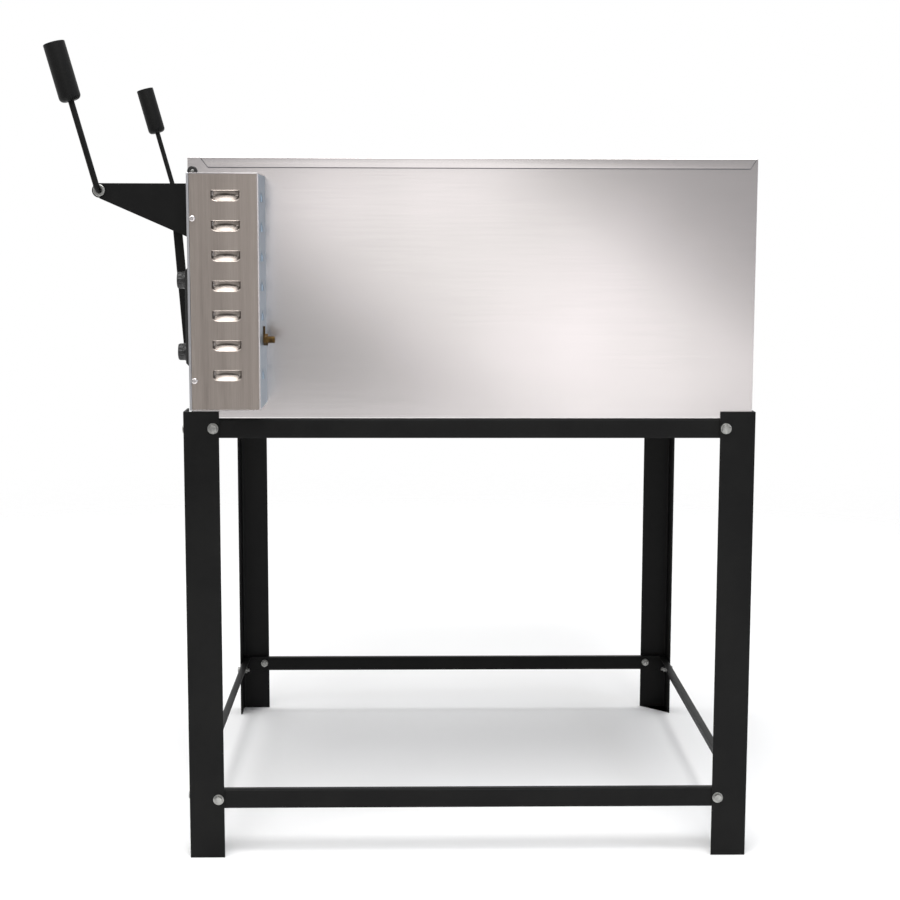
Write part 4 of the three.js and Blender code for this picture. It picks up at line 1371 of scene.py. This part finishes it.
# -------------------------------------------------------------------- lift
@dataclass
class Lift:
    """The counterweighted lever in front of the oven."""

    rod: float = 5 * MM
    lean: float = math.radians(15.5)
    bend: float = 9 * MM
    weight: float = 18 * MM
    boss: float = 12 * MM
    weight_from: float = 150 * MM
    weight_length: float = 97 * MM
    drop: float = math.radians(24.2)
    arm_half: float = 11 * MM
    slot_half: float = 7.5 * MM
    slot: tuple[float, float] = (118 * MM, 158 * MM)
    tip: float = 164 * MM

    def __post_init__(self) -> None:
        """Find the pivot from the shaft."""
        low, high = box_of("lever_shaft")
        self.pivot = (low + high) / 2
        self.ends = (low[0], high[0])

    def bracket(self, side: Side) -> None:
        """A bracket plate, round at the pivot, with a hole for the bush.

        The outline is a convex one, so its radius at an angle is the least, over its straight sides, of the side's
        distance from the pivot over the cosine of the angle to its normal, but at least the boss's radius.

        Args:
            side: The side of the oven.
        """
        node = f"lift_bracket_{side.word}"
        low, high = box_of(node)
        rear, top = high[1] - self.pivot[1], self.boss
        toe = low[2] - self.pivot[2]
        slope = math.atan2(-toe - self.boss * 1.05, rear)
        turns = np.linspace(0, 2 * np.pi, 721)[:-1]
        corner_turns = np.array([math.atan2(top, rear), math.atan2(toe, rear) + 2 * np.pi])
        turns = np.sort(np.concatenate([turns, corner_turns]))
        sides = [(0.0, rear), (np.pi / 2, top), (-np.pi / 2 - slope, self.boss)]
        reach = np.full_like(turns, 1.0)
        for normal, distance in sides:
            facing = np.cos(turns - normal)
            reach = np.minimum(reach, np.where(facing > 0.02, distance / np.maximum(facing, 0.02), 1.0))
        behind = np.cos(turns) < 0
        reach = np.where(behind, np.minimum(reach, self.boss), reach)
        around = np.stack([np.cos(turns), np.sin(turns)], -1)
        outer = around * reach[:, None] + self.pivot[1:]
        inner = around * 7.2 * MM + self.pivot[1:]
        surface = ringed(outer, inner, Axis.X, low[0], high[0])
        Piece(f"bracket_{side.word}", surface, BLACK, Slot.BLACK, replaces=(node,), bevel=0.5 * MM).build()
        wall = box_of(f"side_panel_{side.word}")
        x = wall[1][0] if side is Side.RIGHT else wall[0][0]
        heads = [
            PanScrew(6.5 * MM, 3.2 * MM).head([x, high[1] - 5.5 * MM, self.pivot[2] + dz], [side.value, 0, 0])
            for dz in (-8 * MM, -56 * MM)
        ]
        Piece(f"bracket_screws_{side.word}", together(heads), ZINC, Slot.ZINC).build()

    def bush(self, side: Side) -> None:
        """A flanged bush with its rim rolled round.

        Args:
            side: The side of the oven.
        """
        node = f"pivot_bush_{side.word}"
        low, high = box_of(node)
        start = low[0] if side is Side.RIGHT else high[0]
        length = high[0] - low[0]
        flange = (high[2] - low[2]) / 2
        thick = 2.6 * MM
        turn = np.linspace(-np.pi / 2, np.pi / 2, 9)
        half = thick / 2
        rim = [(flange - half + half * math.cos(t), length - half + half * math.sin(t)) for t in turn]
        bore, sleeve = 5.3 * MM, 6.9 * MM
        profile = [(bore, 0), (sleeve, 0), (sleeve, length - thick), *rim, (bore, length), (bore, 0)]
        surface = spun(profile, [start, *self.pivot[1:]], [side.value, 0, 0], 56)
        Piece(f"bush_{side.word}", surface, ZINC, Slot.ZINC, replaces=(node,)).build()

    def shaft(self) -> None:
        """The cross shaft."""
        length = self.ends[1] - self.ends[0]
        r = self.rod
        soft = 0.6 * MM
        profile = [(0, 0), (r - soft, 0), (r, soft), (r, length - soft), (r - soft, length), (0, length)]
        surface = spun(profile, [self.ends[0], *self.pivot[1:]], [1, 0, 0], 40)
        Piece("shaft", surface, BLACK, Slot.BLACK, Body.LEVER, ("lever_shaft",)).build()

    def rod_and_weight(self, side: Side) -> None:
        """The rod that the shaft's end is bent into, and the weight on it.

        The rod's line leaves the shaft sideways and turns a quarter circle into the leaning direction.

        Args:
            side: The side of the oven.
        """
        rod_node, weight_node = f"weight_rod_{side.word}", f"counterweight_{side.word}"
        low, high = box_of(rod_node)
        x = (low[0] + high[0]) / 2
        lean = np.array([0, -math.sin(self.lean), math.cos(self.lean)])
        out = np.array([side.value, 0.0, 0.0])
        centre = np.array([x, *self.pivot[1:]])
        turn = np.linspace(0, np.pi / 2, 13)[:, None]
        r = self.bend
        heel = centre + r * lean - r * out
        arc = heel + r * (np.sin(turn) * out - np.cos(turn) * lean)
        weight_foot = centre + self.weight_from * lean
        start = centre - (r + 3 * MM) * out
        path = np.vstack([start, arc, weight_foot + 4 * MM * lean])
        normal = np.cross(out, lean)
        surface = carried(circle(self.rod, 32), path, normal)
        Piece(f"rod_{side.word}", surface, BLACK, Slot.BLACK, Body.LEVER, (rod_node,)).build()
        length, soft = self.weight_length, 8 * MM
        bow = np.linspace(0, np.pi / 2, 9)
        foot = [(self.weight - soft + soft * math.sin(t), soft - soft * math.cos(t)) for t in bow]
        edge = 0.8 * MM
        profile = [
            (0, 0),
            *foot,
            (self.weight, length - edge),
            (self.weight - edge, length),
            (4.3 * MM, length),
            (3.4 * MM, length - 1.2 * MM),
            (0, length - 1.6 * MM),
        ]
        surface = spun(profile, weight_foot, lean, 64)
        Piece(f"weight_{side.word}", surface, BLACK, Slot.BLACK, Body.LEVER, (weight_node,)).build()

    def arm(self, side: Side) -> None:
        """A lifting arm: a strip with round ends, slotted near its tip, on a round hub.

        Outer and inner outlines are sampled at the same turns about the slot's middle. A strip with round ends is
        where a point's distance from its middle line is the half width, so its outline is the line's nearer end plus
        the half width along the turn.

        Args:
            side: The side of the oven.
        """
        node = f"lift_arm_{side.word}"
        low, high = box_of(node)
        turn = np.linspace(0, 2 * np.pi, 96, endpoint=False)
        around = np.stack([np.cos(turn), np.sin(turn)], -1)

        def strip(near: float, far: float, half: float) -> Array:
            """A strip's outline, from near to far along its middle line."""
            ends = np.where(around[:, :1] > 0, far - half, near + half)
            return np.concatenate([ends, np.zeros_like(ends)], 1) + half * around

        tilt = np.array([[math.cos(self.drop), -math.sin(self.drop)], [math.sin(self.drop), math.cos(self.drop)]])
        outer = strip(-self.arm_half, self.tip, self.arm_half) @ tilt + self.pivot[1:]
        inner = strip(self.slot[0], self.slot[1], self.slot_half) @ tilt + self.pivot[1:]
        face = low[0] if side is Side.RIGHT else high[0]
        thick = 4 * MM * side.value
        plate = ringed(outer, inner, Axis.X, face, face + thick)
        hub = np.array([(5.2, 0), (11, 0), (11, 14.2), (10.2, 15), (5.2, 15), (5.2, 0)]) * MM
        collar = spun(hub, [face, *self.pivot[1:]], [side.value, 0, 0], 48)
        surface = together([plate, collar])
        Piece(f"arm_{side.word}", surface, BLACK, Slot.BLACK, Body.LEVER, (node,), bevel=0.4 * MM).build()

    def build(self) -> None:
        """Make the lever and what carries it."""
        self.shaft()
        for side in Side:
            self.bracket(side)
            self.bush(side)
            self.rod_and_weight(side)
            self.arm(side)


# -------------------------------------------------------------------- door
@dataclass
class Door:
    """The lifting door with its handle, lift bars and thermometer."""

    bar_width: float = 15 * MM
    slope: float = 0.076
    pin: tuple[float, float] = (-8.5 * MM, 1.095)
    handle: float = 7 * MM
    dial: float = 30 * MM

    def __post_init__(self) -> None:
        """Find the front of the stand, which the pin's place is given from."""
        self.front = box_of("stand_leg_front_right")[0][1]

    def skin(self) -> None:
        """The skin: one sheet folded back along its top and bottom."""
        low, high = box_of("door_skin")
        s = 1.2 * MM
        corners = [
            (low[1], low[2]),
            (high[1], low[2]),
            (high[1], low[2] + s),
            (low[1] + s, low[2] + s),
            (low[1] + s, high[2] - s),
            (high[1], high[2] - s),
            (high[1], high[2]),
            (low[1], high[2]),
        ]
        section = rounded(corners, np.array([2.4, 0.3, 0.3, 1, 1, 0.3, 0.3, 2.4]) * MM, 6)
        surface = prism(section, Axis.X, low[0], high[0])
        skin = Piece("door_front", surface, FRONT, Slot.POLISHED, Body.DOOR, ("door_skin",))
        skin.bevel = 0.25 * MM
        skin.build()
        dress(["door_back"], LID)

    def lift_bar(self, side: Side) -> None:
        """A lift bar: a strip that leans back to a lug on the door, with a headed pin at its top.

        Args:
            side: The side of the oven.
        """
        node = f"lift_bar_{side.word}"
        low, high = box_of(node)
        thick = 4 * MM
        start = low[0] if side is Side.RIGHT else high[0] - thick
        pin_y, pin_z = self.front + self.pin[0], self.pin[1]
        half = self.bar_width / 2
        z0, z1, lug = low[2], high[2], low[2] + 100 * MM
        back = high[1]

        def middle(z: float) -> float:
            """The strip's middle line, which leans by the slope away from the pin."""
            return pin_y + (pin_z - z) * self.slope

        corners = [
            (middle(z1) - half, z1),
            (middle(z0) - half, z0),
            (back, z0),
            (back, lug),
            (middle(lug) + half, lug),
            (middle(z1) + half, z1),
        ]
        strip = prism(rounded(corners, np.array([6, 4, 0.5, 6, 4, 6]) * MM, 5), Axis.X, start, start + thick)
        reach = high[0] - low[0]
        head, neck = 9 * MM, 3 * MM
        profile = [
            (0, 0),
            (neck, 0),
            (neck, reach - 3 * MM),
            (head - 0.5 * MM, reach - 3 * MM),
            (head, reach - 2.4 * MM),
            (head, reach - 0.8 * MM),
            (head - 1.2 * MM, reach),
            (0, reach),
        ]
        foot = low[0] if side is Side.RIGHT else high[0]
        pin = spun(profile, [foot, pin_y, pin_z], [side.value, 0, 0], 40)
        surface = together([strip, pin])
        Piece(f"hanger_{side.word}", surface, BLACK, Slot.BLACK, Body.DOOR, (node,), bevel=0.4 * MM).build()

    def grip(self) -> None:
        """The handle: a round bar bent back to the door at both ends, on two roses."""
        low, high = box_of("door_handle")
        r = self.handle
        y, z = low[1] + r, (low[2] + high[2]) / 2
        face = box_of("door_skin")[0][1]
        left, right = low[0] + r, high[0] - r
        bend = 14 * MM
        turn = np.linspace(0, np.pi / 2, 11)
        first = np.stack([left + bend - bend * np.sin(turn[::-1]), y + bend - bend * np.cos(turn[::-1])], -1)
        second = np.stack([right - bend + bend * np.sin(turn), y + bend - bend * np.cos(turn)], -1)
        plan = np.vstack([[left, face], first, second, [right, face]])
        path = np.insert(plan, 2, z, axis=1)
        bar = carried(circle(r * 0.98, 32), path, [0, 0, 1])
        rose = [(0, 0), (11 * MM, 0), (11 * MM, 2 * MM), (9.5 * MM, 3.2 * MM), (0, 3.2 * MM)]
        roses = [spun(rose, [x, face, z], [0, -1, 0], 40) for x in (left, right)]
        Piece("handle", bar, BLACK, Slot.BLACK, Body.DOOR, ("door_handle",)).build()
        Piece("handle_roses", together(roses), ZINC, Slot.ZINC, Body.DOOR, bevel=0.3 * MM).build()

    def thermometer(self) -> None:
        """The thermometer: a rimmed case, a white dial with strokes, the pointer, and a domed glass."""
        low, high = box_of("thermometer_case")
        radius = (high[0] - low[0]) / 2
        x, z = (low[0] + high[0]) / 2, (low[2] + high[2]) / 2
        front = low[1]
        back = box_of("door_skin")[0][1]
        deep = back - front
        foot = [x, front, z]
        rim = [
            (0, deep - 2 * MM),
            (radius - 3 * MM, deep - 2 * MM),
            (radius - 3 * MM, 1.2 * MM),
            (radius - 2.2 * MM, 0.2 * MM),
            (radius - 1.0 * MM, 0),
            (radius, 1.2 * MM),
            (radius, deep),
            (0, deep),
        ]
        case = spun(rim, foot, [0, 1, 0], 72)
        Piece("dial_case", case, LID, Slot.POLISHED, Body.DOOR, ("thermometer_case",)).build()
        face, under, edge = deep - 3.4 * MM, deep - 2 * MM, radius - 3.2 * MM
        plate = [(0, face), (edge, face), (edge, under), (0, under)]
        Piece("dial_plate", spun(plate, foot, [0, 1, 0], 64), ENAMEL, Slot.POLISHED, Body.DOOR).build()
        strokes = []
        for i, turn in enumerate(np.radians(np.linspace(0, 270, 28))):
            long = 5.0 if i % 9 == 0 else 2.6
            wide = 0.55 if i % 9 == 0 else 0.3
            box = rounded([(-wide, 26 - long), (wide, 26 - long), (wide, 26), (-wide, 26)], 0.15, 1) * MM
            spin = np.array([[math.cos(turn), -math.sin(turn)], [math.sin(turn), math.cos(turn)]])
            place = box @ spin + np.array([x, z])
            strokes.append(prism(place, Axis.Y, front + deep - 3.6 * MM, front + deep - 3.3 * MM))
        Piece("dial_strokes", together(strokes), PLASTIC, Slot.PLASTIC, Body.DOOR).build()
        turn = np.linspace(0, np.pi / 2, 9)
        dome = [((radius - 3.1 * MM) * math.sin(t), 1.6 * MM - 1.2 * MM * math.cos(t)) for t in turn]
        lens = [*dome, (radius - 3.1 * MM, 2.4 * MM), (0, 2.4 * MM)]
        Piece("dial_glass", spun(lens, foot, [0, 1, 0], 64), GLASS, Slot.POLISHED, Body.DOOR).build()
        low, high = box_of("thermometer_needle")
        hand = rounded([(-2.2, -6), (2.2, -6), (0.5, 22), (-0.5, 22)], 0.4) * MM + np.array([x, z])
        y0 = low[1] + 1.0 * MM
        pointer = prism(hand, Axis.Y, y0, y0 + 0.8 * MM)
        hub = [(0, 0), (3 * MM, 0), (4 * MM, 0.8 * MM), (4 * MM, high[1] - low[1]), (0, high[1] - low[1])]
        boss = spun(hub, [x, low[1], z], [0, 1, 0], 32)
        Piece(
            "dial_pointer", together([pointer, boss]), PLASTIC, Slot.BLACK, Body.NEEDLE, ("thermometer_needle",)
        ).build()

    def build(self) -> None:
        """Make the door."""
        self.skin()
        for side in Side:
            self.lift_bar(side)
        self.grip()
        self.thermometer()


# ------------------------------------------------------------------ studio
@dataclass
class Studio:
    """A pale floor, soft lights and the camera."""

    lens: float = 68.8
    yaw: float = 0.0222
    pitch: float = 0.1289
    roll: float = 0.0027
    stand_place: tuple[float, float, float] = (2.8932, 0.3863, 1.0922)

    def camera(self) -> None:
        """The camera: placed from the right front leg's outer corner, with its own three axes worked out.

        It looks along minus X, turned by the yaw and tipped down by the pitch, then rolled.
        """
        low, high = box_of("stand_leg_front_right")
        corner = np.array([high[0], low[1], 0.0])
        forward = np.array(
            [
                -math.cos(self.pitch) * math.cos(self.yaw),
                math.cos(self.pitch) * math.sin(self.yaw),
                -math.sin(self.pitch),
            ]
        )
        right = np.cross(forward, [0, 0, 1])
        right /= np.linalg.norm(right)
        up = np.cross(right, forward)
        rolled_right = math.cos(self.roll) * right + math.sin(self.roll) * up
        rolled_up = -math.sin(self.roll) * right + math.cos(self.roll) * up
        data = bpy.data.cameras.new("camera")
        data.lens = self.lens
        data.sensor_width = 36
        made = bpy.data.objects.new("camera", data)
        bpy.context.scene.collection.objects.link(made)
        axes = np.eye(4)
        axes[:3, 0], axes[:3, 1], axes[:3, 2] = rolled_right, rolled_up, -forward
        axes[:3, 3] = corner + np.array(self.stand_place)
        made.matrix_world = Matrix(axes.tolist())
        bpy.context.scene.camera = made

    def light(
        self, name: str, place: tuple, target: tuple, size: tuple, power: float, colour: str, lean: float = 0.0
    ) -> None:
        """A soft rectangular light that looks at a point.

        Args:
            name: Its name.
            place: Where it stands.
            target: The point that it looks at.
            size: Its width and height.
            power: Its power in watts.
            colour: Its sRGB hex colour.
            lean: How far it is turned about its own axis.
        """
        data = bpy.data.lights.new(name, "AREA")
        data.shape = "RECTANGLE"
        data.size, data.size_y = size
        data.energy = power
        data.color = linear(colour)[:3]
        made = bpy.data.objects.new(name, data)
        bpy.context.scene.collection.objects.link(made)
        back = np.array(place, float) - np.array(target, float)
        back /= np.linalg.norm(back)
        right = np.cross([0, 0, 1], back)
        right /= np.linalg.norm(right)
        up = np.cross(back, right)
        turned = math.cos(lean) * right + math.sin(lean) * up
        axes = np.eye(4)
        axes[:3, 0], axes[:3, 1], axes[:3, 2] = turned, np.cross(back, turned), back
        axes[:3, 3] = place
        made.matrix_world = Matrix(axes.tolist())

    def floor(self) -> None:
        """A wide pale matt floor."""
        half = 12.0
        corners = np.array([[-1, -1, 0], [1, -1, 0], [1, 1, 0], [-1, 1, 0]], float)
        plane = Surface(half * corners, [(0, 1, 2, 3)])
        mesh = bpy.data.meshes.new("floor")
        mesh.from_pydata(plane.points.tolist(), [], plane.faces)
        mesh.materials.append(StudioFloor("Studio floor, matt white", "f6f6f6", 0.9).material())
        made = bpy.data.objects.new("floor", mesh)
        bpy.context.scene.collection.objects.link(made)

    def build(self) -> None:
        """Set up the studio."""
        self.camera()
        self.floor()
        world = bpy.data.worlds.new("studio")
        world.use_nodes = True
        tree = world.node_tree
        facing = add_node(tree, "TexCoord")
        parts = add_node(tree, "SeparateXYZ", None, {0: facing.outputs["Generated"]})
        level = add_node(tree, "MapRange", None, {0: parts.outputs[0], 1: 0.0, 2: 0.6, 3: 1.0, 4: 0.42})
        back = tree.nodes["Background"]
        back.inputs["Color"].default_value = linear("ffffff")
        tree.links.new(level.outputs[0], back.inputs["Strength"])
        bpy.context.scene.world = world
        bpy.context.scene.view_settings.view_transform = "Standard"
        self.light("key", (2.6, -2.6, 3.0), (0, 0, 0.9), (1.6, 1.6), 30, "ffffff")
        self.light("right", (4.2, 0.42, 0.9), (0, 0.42, 0.9), (1.15, 2.6), 12.5, "fffdfd", math.radians(30))
        self.light("upper", (2.3, 0.0, 3.9), (0.5, 0, 1.0), (2.6, 2.0), 130, "ffffff")
        self.light("top", (-0.6, 0.0, 4.2), (-0.6, 0.01, 0), (2.4, 2.4), 40, "ffffff")
        self.light("rear", (1.6, 3.2, 1.5), (0.3, 0, 1.0), (0.8, 1.6), 12, "dceaff")


def main() -> None:
    """Build the oven's looks, assembly by assembly."""
    logging.basicConfig(level=logging.INFO, format="%(name)s: %(message)s")
    Studio().build()
    for assembly in (Stand(), Casing(), Chamber(), GasBox(), Lift(), Door()):
        log.info("building %s", type(assembly).__name__)
        assembly.build()


if __name__ == "__main__":
    main()
